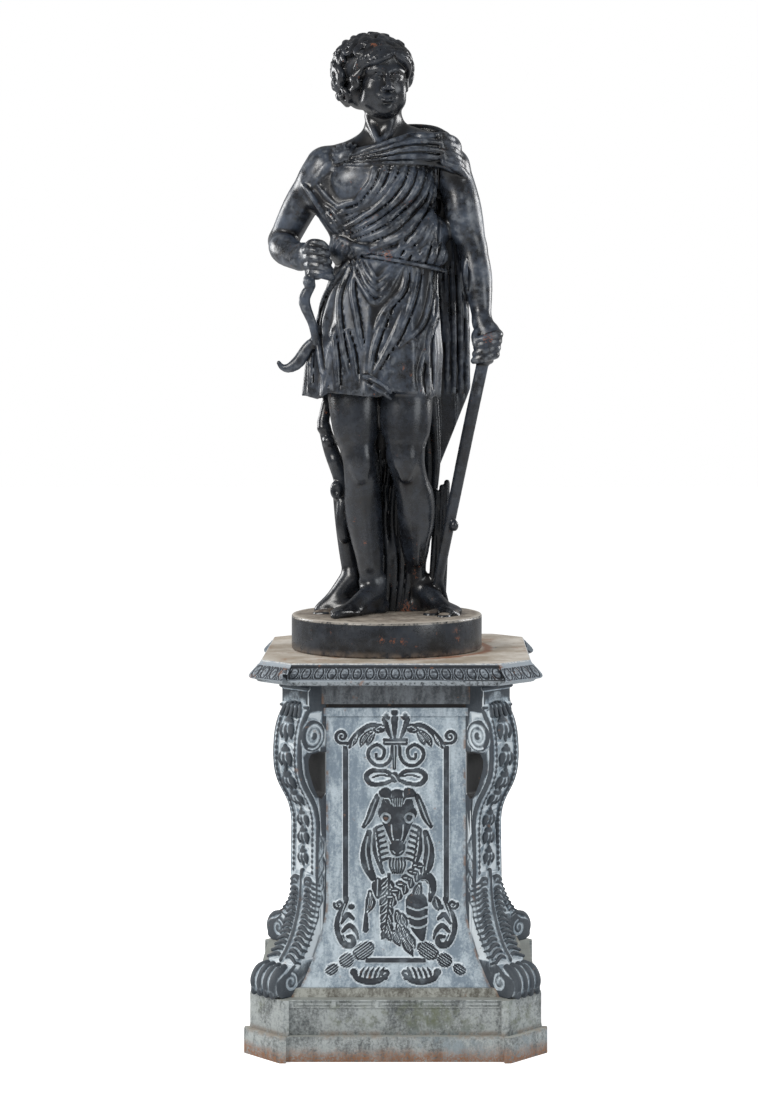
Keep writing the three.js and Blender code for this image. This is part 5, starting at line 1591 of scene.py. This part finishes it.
def statue_material():
    material, w, shader, place = start_material("Worn black paint")
    broad = attribute(w, "hollow_broad")
    fine = attribute(w, "hollow_fine")
    xyz = w.node("ShaderNodeSeparateXYZ", {0: place}).outputs
    up = w.node("ShaderNodeSeparateXYZ", {0: w.node("ShaderNodeNewGeometry").outputs["Normal"]}).outputs["Z"]
    cloudy = w.noise(place, 17.0, 6.0, 0.66)
    grain = w.noise(place, 85.0, 5.0, 0.7)
    cloth = band(w, xyz["Z"], 1.32, 1.87, 0.02)
    bloom = w.ramp(w.math("ADD", w.math("MULTIPLY", cloudy, 0.65), w.math("MULTIPLY", grain, 0.35)), 0.36, 0.70)
    ridge = w.ramp(broad, 1.6, -1.2)
    share = w.math("MULTIPLY", bloom, w.math("ADD", 0.15, w.math("MULTIPLY", ridge, 0.85)))
    share = w.math("MULTIPLY", share, w.math("ADD", 0.26, w.math("MULTIPLY", cloth, 0.62)))
    base = w.mix(share, colour(0.006, 0.0065, 0.008), colour(0.066, 0.086, 0.122))
    ochre = w.math("MULTIPLY", patches(w, place, 0.36, 0.20), w.math("ADD", 0.08, w.math("MULTIPLY", cloth, 0.34)))
    base = w.mix(ochre, base, colour(0.062, 0.052, 0.036))
    # Painted shade: the deepest broad hollows are painted near-black.
    base = w.mix(w.ramp(broad, 1.0, 3.4), base, colour(0.004, 0.004, 0.005))
    crest = w.math("MULTIPLY", w.ramp(fine, -0.30, -0.85), w.ramp(w.noise(place, 60.0, 5.0), 0.44, 0.66))
    crest = w.math("MULTIPLY", crest, w.math("ADD", 0.12, w.math("MULTIPLY", cloth, 0.88)))
    base = w.mix(w.math("MULTIPLY", crest, 0.6), base, colour(0.16, 0.175, 0.195))
    # Plinth: dusty, rusty top with a bright rim and a dusty foot.
    flat = w.node("ShaderNodeCombineXYZ", {0: xyz["X"], 1: xyz["Y"], 2: 0.0}).outputs[0]
    gap = w.node("ShaderNodeVectorMath", {0: flat, 1: (DISC_CENTRE * MM, 0, 0)}, operation="DISTANCE").outputs["Value"]
    low = w.ramp(xyz["Z"], 0.876, 0.864)
    top = w.math("MULTIPLY", low, w.ramp(up, 0.55, 0.9))
    soil = w.mix(w.ramp(w.noise(place, 34.0, 6.0, 0.7), 0.40, 0.60), colour(0.10, 0.07, 0.05), colour(0.34, 0.29, 0.23))
    soil = w.mix(w.ramp(gap, 0.186, 0.197), soil, colour(0.50, 0.46, 0.40))
    base = w.mix(w.math("MULTIPLY", top, 0.85), base, soil)
    foot = w.math("MULTIPLY", w.ramp(xyz["Z"], 0.806, 0.789), w.ramp(w.noise(place, 46.0, 5.0, 0.7), 0.38, 0.62))
    base = w.mix(w.math("MULTIPLY", foot, 0.6), base, colour(0.20, 0.15, 0.11))
    lip = w.math("MULTIPLY", band(w, xyz["Z"], 0.8555, 0.8612, 0.001), w.ramp(grain, 0.36, 0.56))
    base = w.mix(w.math("MULTIPLY", lip, 0.7), base, colour(0.36, 0.33, 0.29))
    rust = w.math("MULTIPLY", w.ramp(w.noise(place, 70.0, 4.0, 0.7), 0.62, 0.70), w.ramp(w.noise(place, 9.0), 0.56, 0.64))
    spots = ((-0.053, -0.09, 1.697, 0.020), (-0.063, -0.09, 1.682, 0.016), (-0.020, -0.09, 1.612, 0.017),
             (-0.048, -0.09, 1.615, 0.016), (0.196, -0.03, 1.612, 0.018), (0.190, -0.07, 1.44, 0.017),
             (-0.029, -0.2, 0.826, 0.010), (-0.006, -0.2, 0.824, 0.010), (0.017, -0.2, 0.822, 0.011),
             (0.125, -0.14, 0.840, 0.012), (0.128, -0.135, 0.822, 0.012), (-0.045, -0.11, 1.322, 0.012),
             (-0.073, -0.03, 1.012, 0.010), (0.02, 0.04, 0.868, 0.024), (-0.046, -0.07, 2.052, 0.016))
    for x, y, z, radius in spots:
        made = w.node("ShaderNodeGroup")
        made.node_tree = spot_group()
        w.join(place, made.inputs["Vector"])
        made.inputs["Place"].default_value = (x, y, z)
        made.inputs["Radius"].default_value = radius * 1.25
        rust = w.math("MAXIMUM", rust, made.outputs["Mask"])
    base = w.mix(w.math("MULTIPLY", rust, 0.75), base, colour(0.22, 0.070, 0.028))
    w.join(base, shader.inputs["Base Color"])
    gloss = w.math("ADD", 0.25, w.math("MULTIPLY", bloom, w.math("ADD", 0.05, w.math("MULTIPLY", cloth, 0.14))))
    gloss = w.math("ADD", gloss, w.math("MULTIPLY", w.math("MAXIMUM", top, foot), 0.4))
    gloss = w.math("ADD", gloss, w.math("MULTIPLY", rust, 0.3), clamp=True)
    w.join(gloss, shader.inputs["Roughness"])
    shader.inputs["Metallic"].default_value = 0.0
    shader.inputs["Specular IOR Level"].default_value = 0.5
    rough = w.math("ADD", w.math("MULTIPLY", w.noise(place, 40.0, 3.0), 0.5), w.noise(place, 150.0, 4.0, 0.6))
    bump = w.node("ShaderNodeBump", {"Height": rough, "Strength": 0.13, "Distance": 0.0015})
    w.join(bump.outputs[0], shader.inputs["Normal"])
    return material


def pedestal_material(name, relief, dark, pale, ground):
    """Weathered paint: dark on raised carving, whitened at its edges and in hollows, with painted shade in the recess
    under the frieze and in the bracket's gap.
    """
    material, w, shader, place = start_material(name)
    xyz = w.node("ShaderNodeSeparateXYZ", {0: place}).outputs
    broad = attribute(w, "hollow_broad")
    fine = attribute(w, "hollow_fine")
    stretch = w.node("ShaderNodeMapping", {"Vector": place, "Scale": (1.0, 1.0, 0.28)}).outputs[0]
    streaks = w.noise(stretch, 42.0, 6.0, 0.7)
    speckle = w.noise(place, 210.0, 4.0, 0.75)
    wide = w.noise(place, 8.0, 4.0, 0.6)
    mottled = w.math("ADD", w.math("MULTIPLY", streaks, 0.5), w.math("MULTIPLY", speckle, 0.28))
    mottled = w.math("ADD", mottled, w.math("MULTIPLY", wide, 0.22))
    soil = w.mix(w.ramp(mottled, 0.42, 0.60), ground, pale)
    height = w.math("SUBTRACT", xyz["Z"], BASE_TOP * MM)
    if relief:
        along_x, along_y = w.math("ABSOLUTE", xyz["X"]), w.math("ABSOLUTE", xyz["Y"])
        far, near = w.math("MAXIMUM", along_x, along_y), w.math("MINIMUM", along_x, along_y)
        low = w.math("DIVIDE", w.math("SUBTRACT", FLARE_HEIGHT * MM, height), FLARE_HEIGHT * MM, clamp=True)
        flare = w.math("MULTIPLY", w.math("POWER", low, 1.7), FLARE_DEPTH * MM)
        rise = w.math("SUBTRACT", w.math("SUBTRACT", far, FACE * MM), flare)
        fillet = band(w, height, 0.552, 0.569)
        # The recess between the fillet and the frieze, painted near-black below as shade.
        line = band(w, height, 0.569, 0.577)
        frieze = w.ramp(height, 0.5765, 0.5775)
        skirting = w.ramp(height, 0.0165, 0.0155)
        rise = w.math("SUBTRACT", rise, w.math("MULTIPLY", fillet, 0.005))
        rise = w.math("SUBTRACT", rise, w.math("MULTIPLY", w.math("MAXIMUM", frieze, skirting), 0.009))
        uneven = w.math("MULTIPLY", w.math("SUBTRACT", speckle, 0.5), 0.0024)
        raised = w.ramp(w.math("ADD", rise, uneven), 0.0014, 0.0027)
        cut = w.ramp(fine, 0.10, 0.38)
        raised = w.math("MULTIPLY", raised, w.math("SUBTRACT", 1.0, w.math("MULTIPLY", cut, 0.95)))
        hollow = w.math("MULTIPLY", w.ramp(fine, 0.14, 0.45), w.ramp(rise, 0.0008, 0.002))
        halo = w.ramp(w.math("ADD", attribute(w, "halo"), w.math("SUBTRACT", speckle, 0.5)), 0.12, 0.75)
        soil = w.mix(w.math("MULTIPLY", halo, 0.9), soil, colour(0.74, 0.80, 0.84))
        patchy = w.ramp(w.noise(place, 34.0, 5.0), 0.30, 0.55)
        base = w.mix(w.math("MULTIPLY", raised, w.math("ADD", 0.72, w.math("MULTIPLY", patchy, 0.28))), soil, dark)
        base = w.mix(w.math("MULTIPLY", hollow, 0.8), base, colour(0.66, 0.72, 0.76))
        grey = w.mix(w.ramp(mottled, 0.42, 0.62), colour(0.055, 0.062, 0.070), colour(0.20, 0.22, 0.24))
        base = w.mix(frieze, base, grey)
        # Painted shade: the narrow recess between the fillet and the frieze is painted near-black.
        base = w.mix(line, base, colour(0.020, 0.018, 0.018))
        earth = w.mix(w.ramp(mottled, 0.42, 0.60), colour(0.09, 0.085, 0.07), colour(0.34, 0.35, 0.32))
        base = w.mix(skirting, base, earth)
        seam = w.ramp(w.math("SUBTRACT", w.math("SUBTRACT", far, 0.0570), near), 0.0075, 0.0015)
        seam = w.math("MULTIPLY", seam, w.ramp(w.noise(place, 30.0, 5.0, 0.7), 0.42, 0.60))
        base = w.mix(w.math("MULTIPLY", seam, 0.75), base, colour(0.21, 0.12, 0.075))
    else:
        proud = w.ramp(w.math("ADD", broad, w.math("MULTIPLY", w.math("SUBTRACT", mottled, 0.5), 3.0)), 0.45, -1.0)
        base = w.mix(w.math("MULTIPLY", proud, 0.92), soil, dark)
        base = w.mix(w.math("MULTIPLY", w.ramp(fine, 0.12, 0.5), 0.85), base, colour(0.70, 0.76, 0.80))
        base = w.mix(w.math("MULTIPLY", attribute(w, "shade"), 0.93), base, colour(0.020, 0.018, 0.017))
    rust = w.math("MULTIPLY", w.ramp(w.noise(place, 44.0, 4.0, 0.7), 0.64, 0.70), 0.5)
    base = w.mix(rust, base, colour(0.22, 0.13, 0.09))
    w.join(base, shader.inputs["Base Color"])
    w.join(w.math("ADD", 0.50, w.math("MULTIPLY", streaks, 0.35)), shader.inputs["Roughness"])
    shader.inputs["Metallic"].default_value = 0.0
    shader.inputs["Specular IOR Level"].default_value = 0.4
    bump = w.node("ShaderNodeBump", {"Height": w.math("ADD", speckle, streaks), "Strength": 0.35, "Distance": 0.002})
    w.join(bump.outputs[0], shader.inputs["Normal"])
    return material


def base_material():
    material, w, shader, place = start_material("Base paint")
    xyz = w.node("ShaderNodeSeparateXYZ", {0: place}).outputs
    up = w.node("ShaderNodeSeparateXYZ", {0: w.node("ShaderNodeNewGeometry").outputs["Normal"]}).outputs["Z"]
    stretch = w.node("ShaderNodeMapping", {"Vector": place, "Scale": (1.0, 1.0, 0.4)}).outputs[0]
    streaks = w.noise(stretch, 30.0, 6.0, 0.72)
    speckle = w.noise(place, 190.0, 4.0, 0.75)
    mottled = w.math("ADD", w.math("MULTIPLY", streaks, 0.6), w.math("MULTIPLY", speckle, 0.4))
    base = w.mix(w.ramp(mottled, 0.36, 0.60), colour(0.085, 0.095, 0.098), colour(0.38, 0.41, 0.41))
    blue = w.math("MULTIPLY", patches(w, place, 0.46, 0.12), 0.7)
    base = w.mix(blue, base, colour(0.22, 0.27, 0.30))
    moss = w.math("MULTIPLY", patches(w, place, 0.58, 0.14), band(w, xyz["Z"], 0.062, 0.118, 0.02))
    base = w.mix(w.math("MULTIPLY", moss, 0.75), base, colour(0.115, 0.125, 0.055))
    base = w.mix(w.math("MULTIPLY", w.ramp(up, 0.6, 0.9), 0.7), base, colour(0.34, 0.35, 0.32))
    level = w.math("ADD", xyz["Z"], w.math("MULTIPLY", w.noise(place, 20.0, 5.0, 0.7), 0.05))
    foot = w.math("MULTIPLY", w.ramp(level, 0.060, 0.030), w.ramp(speckle, 0.36, 0.56))
    base = w.mix(w.math("MULTIPLY", foot, 0.9), base, colour(0.26, 0.115, 0.05))
    edge = w.math("MULTIPLY", band(w, xyz["Z"], 0.046, 0.058, 0.004), w.ramp(streaks, 0.45, 0.6))
    base = w.mix(w.math("MULTIPLY", edge, 0.5), base, colour(0.20, 0.13, 0.08))
    w.join(base, shader.inputs["Base Color"])
    w.join(w.math("ADD", 0.55, w.math("MULTIPLY", streaks, 0.3)), shader.inputs["Roughness"])
    shader.inputs["Specular IOR Level"].default_value = 0.35
    bump = w.node("ShaderNodeBump", {"Height": w.math("ADD", speckle, streaks), "Strength": 0.4, "Distance": 0.003})
    w.join(bump.outputs[0], shader.inputs["Normal"])
    return material


def cap_material():
    material, w, shader, place = start_material("Bleached cap")
    xyz = w.node("ShaderNodeSeparateXYZ", {0: place}).outputs
    up = w.node("ShaderNodeSeparateXYZ", {0: w.node("ShaderNodeNewGeometry").outputs["Normal"]}).outputs["Z"]
    level = w.math("MULTIPLY", w.ramp(up, 0.75, 0.95), w.ramp(xyz["Z"], 0.7835, 0.7865))
    cloudy = w.noise(place, 10.0, 6.0, 0.65)
    speckle = w.noise(place, 160.0, 4.0, 0.75)
    top = w.mix(w.ramp(cloudy, 0.35, 0.65), colour(0.36, 0.30, 0.23), colour(0.62, 0.58, 0.52))
    top = w.mix(w.math("MULTIPLY", patches(w, place, 0.45, 0.1), 0.7), top, colour(0.30, 0.16, 0.085))
    flat = w.node("ShaderNodeCombineXYZ", {0: xyz["X"], 1: xyz["Y"], 2: 0.0}).outputs[0]
    gap = w.node("ShaderNodeVectorMath", {0: flat, 1: (DISC_CENTRE * MM, 0, 0)}, operation="DISTANCE").outputs["Value"]
    wavy = w.math("ADD", gap, w.math("MULTIPLY", w.math("SUBTRACT", cloudy, 0.5), 0.03))
    ring = w.math("MULTIPLY", band(w, wavy, 0.204, 0.222, 0.006), w.ramp(xyz["X"], 0.02, 0.10))
    top = w.mix(w.math("MULTIPLY", ring, 0.8), top, colour(0.27, 0.10, 0.045))
    broad = attribute(w, "hollow_broad")
    fine = attribute(w, "hollow_fine")
    worn = w.ramp(w.math("ADD", w.math("MULTIPLY", fine, -0.8), w.math("ADD", speckle, w.math("MULTIPLY", cloudy, 0.3))), 0.72, 1.05)
    edge = w.mix(worn, colour(0.040, 0.048, 0.060), colour(0.27, 0.31, 0.35))
    # Painted shade: the broad hollows of the egg and dart edge are painted darker than the paint.
    edge = w.mix(w.ramp(broad, 0.25, 0.9), edge, colour(0.026, 0.030, 0.036))
    lower = w.math("MULTIPLY", band(w, xyz["Z"], 0.743, 0.7535, 0.001), w.ramp(speckle, 0.35, 0.55))
    edge = w.mix(w.math("MULTIPLY", lower, 0.75), edge, colour(0.34, 0.38, 0.41))
    base = w.mix(level, edge, top)
    rim = w.math("MULTIPLY", band(w, xyz["Z"], 0.7855, 0.7885, 0.0008), w.ramp(speckle, 0.40, 0.55))
    base = w.mix(w.math("MULTIPLY", w.math("MULTIPLY", rim, w.ramp(up, 0.98, 0.6)), 0.8), base, colour(0.66, 0.66, 0.63))
    rust = w.math("MULTIPLY", w.ramp(w.noise(place, 42.0, 4.0, 0.7), 0.62, 0.70), 0.6)
    base = w.mix(rust, base, colour(0.25, 0.115, 0.06))
    w.join(base, shader.inputs["Base Color"])
    w.join(w.math("ADD", 0.50, w.math("MULTIPLY", cloudy, 0.3)), shader.inputs["Roughness"])
    bump = w.node("ShaderNodeBump", {"Height": speckle, "Strength": 0.3, "Distance": 0.002})
    w.join(bump.outputs[0], shader.inputs["Normal"])
    return material


DARK = colour(0.026, 0.031, 0.039)
PALE = colour(0.46, 0.53, 0.58)
GROUND = colour(0.17, 0.22, 0.27)


# Settings and operators

class StatueSettings(bpy.types.PropertyGroup):
    cell: bpy.props.FloatProperty(name="Figure detail", description="Grid step of the figure's form, in millimetres",
                                  default=2.6, min=1.5, max=12.0)
    triangles: bpy.props.IntProperty(name="Figure triangles", description="Triangles kept on the figure",
                                     default=186000, min=5000, max=198000)


class PedestalSettings(bpy.types.PropertyGroup):
    rows: bpy.props.IntProperty(name="Panel rows", description="Rows of the panel's relief grid", default=292, min=60, max=380)
    bracket_cell: bpy.props.FloatProperty(name="Bracket detail", description="Grid step of the brackets, in millimetres",
                                          default=1.9, min=1.2, max=8.0)
    triangles: bpy.props.IntProperty(name="Piece triangles", description="Triangles kept on each bracket",
                                     default=72000, min=4000, max=150000)


class STATUE_OT_figure(bpy.types.Operator):
    """Build the figure with its round plinth"""
    bl_idname = "statue.figure"
    bl_label = "Build figure"

    def execute(self, context):
        settings = context.scene.statue_settings
        made = build_statue(settings.cell, settings.triangles)
        finish_piece(made, statue_material(), "statue")
        return {"FINISHED"}


class STATUE_OT_panels(bpy.types.Operator):
    """Build the four relief plates"""
    bl_idname = "statue.panels"
    bl_label = "Build panels"

    def execute(self, context):
        settings = context.scene.pedestal_settings
        material = pedestal_material("Plate paint", True, DARK, PALE, GROUND)
        first = build_panel("panel_front_casting", 0, settings.rows)
        pieces = [("panel_front", first)]
        for quarter, node in ((1, "panel_right"), (2, "panel_back"), (3, "panel_left")):
            copy = first.copy()
            copy.data = first.data.copy()
            copy.name = node + "_casting"
            context.collection.objects.link(copy)
            copy.data.transform(Matrix.Rotation(quarter * math.pi / 2, 4, "Z"))
            pieces.append((node, copy))
        for node, piece in pieces:
            finish_piece(piece, material, node)
        return {"FINISHED"}


class STATUE_OT_brackets(bpy.types.Operator):
    """Build the four corner brackets"""
    bl_idname = "statue.brackets"
    bl_label = "Build brackets"

    def execute(self, context):
        settings = context.scene.pedestal_settings
        material = pedestal_material("Bracket paint", False, colour(0.034, 0.041, 0.051), PALE, GROUND)
        points, quads = model_bracket(settings.bracket_cell)
        first = mesh_object("bracket", points, quads)
        only(first)
        keep_largest(first)
        thinned(first, settings.triangles)
        smooth_shaded(first, 50)
        mark_hollows(first, 2, 14)
        mark_gap(first)
        names = ("console_back_right", "console_back_left", "console_front_left", "console_front_right")
        for quarter, node in enumerate(names):
            copy = first.copy()
            copy.data = first.data.copy()
            copy.name = node + "_casting"
            context.collection.objects.link(copy)
            copy.data.transform(Matrix.Rotation(math.radians(45 + 90 * quarter), 4, "Z"))
            finish_piece(copy, material, node)
        bpy.data.objects.remove(first)
        return {"FINISHED"}


class STATUE_OT_cap(bpy.types.Operator):
    """Build the cap with its egg and dart edge"""
    bl_idname = "statue.cap"
    bl_label = "Build cap"

    def execute(self, context):
        made = build_cap((306, 56), 60000)
        finish_piece(made, cap_material(), "cap")
        return {"FINISHED"}


class STATUE_OT_base(bpy.types.Operator):
    """Build the two frames of the base"""
    bl_idname = "statue.base"
    bl_label = "Build base"

    def execute(self, context):
        material = base_material()
        lower = build_base_frame("plinth_lower_casting", 305.0, 75.0, 36.0, 0.0, 51.0, False)
        upper = build_base_frame("plinth_upper_casting", 293.0, 68.0, 50.0, 51.0, 70.0, True)
        for node, piece in (("plinth_lower", lower), ("plinth_upper", upper)):
            finish_piece(piece, material, node)
        return {"FINISHED"}


class STATUE_OT_stage(bpy.types.Operator):
    """Set up the pale studio, its lights and the camera"""
    bl_idname = "statue.stage"
    bl_label = "Build studio"

    def execute(self, context):
        bpy.ops.mesh.primitive_plane_add(size=1)
        floor = context.object
        floor.name = "studio_floor"
        floor.data.transform(Matrix.Translation((0, 6, 0)) @ Matrix.Diagonal((40, 34, 1, 1)))
        material, w, shader, place = start_material("Studio paper")
        tone = w.mix(w.noise(place, 2.0), colour(0.78, 0.78, 0.78), colour(0.82, 0.82, 0.82))
        w.join(tone, shader.inputs["Base Color"])
        shader.inputs["Roughness"].default_value = 0.9
        shader.inputs["Specular IOR Level"].default_value = 0.0
        seen = w.node("ShaderNodeLightPath").outputs["Is Camera Ray"]
        shader.inputs["Emission Color"].default_value = colour(1, 1, 1)
        w.join(w.math("MULTIPLY", seen, 0.66), shader.inputs["Emission Strength"])
        floor.data.materials.append(material)
        world = bpy.data.worlds.new("Studio")
        context.scene.world = world
        world.use_nodes = True
        w = Wires(world.node_tree)
        back = world.node_tree.nodes["Background"]
        back.inputs[0].default_value = colour(1.0, 1.0, 1.0)
        path = w.node("ShaderNodeLightPath").outputs
        ambient = w.math("SUBTRACT", 0.46, w.math("MULTIPLY", path["Is Glossy Ray"], 0.16))
        unseen = w.math("SUBTRACT", 1.0, path["Is Camera Ray"])
        w.join(w.math("ADD", path["Is Camera Ray"], w.math("MULTIPLY", unseen, ambient)), back.inputs[1])
        for name, place, aim, size, power, tint in (
            ("Key", (-3.2, -3.4, 3.6), (0, 0, 1.3), 1.8, 175, (1.0, 0.98, 0.95)),
            ("Fill", (3.8, -3.2, 2.2), (0, 0, 1.2), 2.0, 60, (0.93, 0.97, 1.0)),
            ("Left edge", (-3.4, 1.8, 2.2), (0, 0, 1.4), 1.6, 85, (1.0, 1.0, 1.0)),
            ("Right edge", (3.4, 1.8, 2.2), (0, 0, 1.4), 1.6, 85, (1.0, 1.0, 1.0)),
        ):
            light = bpy.data.lights.new(name, "AREA")
            light.size = size
            light.energy = power
            light.color = tint
            made = bpy.data.objects.new(name, light)
            made.location = place
            made.rotation_euler = (Vector(aim) - Vector(place)).to_track_quat("-Z", "Y").to_euler()
            context.collection.objects.link(made)
        camera = bpy.data.cameras.new("View")
        camera.sensor_width = 36.0
        camera.sensor_fit = "AUTO"
        width, height = 758.0, 1100.0
        camera.lens = 36.0 * LENS_PIXELS / height
        camera.shift_x = (width / 2 - PICTURE_CENTRE[0]) / height
        camera.shift_y = (PICTURE_CENTRE[1] - height / 2) / height
        camera.clip_end = 100.0
        made = bpy.data.objects.new("View", camera)
        made.location = [v * MM for v in SEEN_FROM]
        made.rotation_euler = (math.radians(90), 0, 0)
        context.collection.objects.link(made)
        context.scene.camera = made
        context.scene.view_settings.view_transform = "Standard"
        return {"FINISHED"}


class STATUE_PT_panel(bpy.types.Panel):
    bl_label = "Cast iron statue"
    bl_idname = "STATUE_PT_panel"
    bl_space_type = "VIEW_3D"
    bl_region_type = "UI"
    bl_category = "Statue"

    def draw(self, context):
        layout = self.layout
        for group_name in ("statue_settings", "pedestal_settings"):
            settings = getattr(context.scene, group_name)
            for name in settings.__annotations__:
                layout.prop(settings, name)
        for operator in OPERATORS:
            layout.operator(operator.bl_idname)


OPERATORS = (STATUE_OT_stage, STATUE_OT_base, STATUE_OT_panels, STATUE_OT_brackets, STATUE_OT_cap, STATUE_OT_figure)
CLASSES = (StatueSettings, PedestalSettings) + OPERATORS + (STATUE_PT_panel,)


def register():
    for item in CLASSES:
        bpy.utils.register_class(item)
    bpy.types.Scene.statue_settings = bpy.props.PointerProperty(type=StatueSettings)
    bpy.types.Scene.pedestal_settings = bpy.props.PointerProperty(type=PedestalSettings)


def unregister():
    del bpy.types.Scene.pedestal_settings
    del bpy.types.Scene.statue_settings
    for item in reversed(CLASSES):
        bpy.utils.unregister_class(item)


def main():
    register()
    bpy.ops.object.select_all(action="DESELECT")
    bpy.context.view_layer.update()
    bpy.ops.statue.stage()
    bpy.ops.statue.base()
    bpy.ops.statue.panels()
    bpy.ops.statue.brackets()
    bpy.ops.statue.cap()
    bpy.ops.statue.figure()
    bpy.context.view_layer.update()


if __name__ == "__main__":
    main()
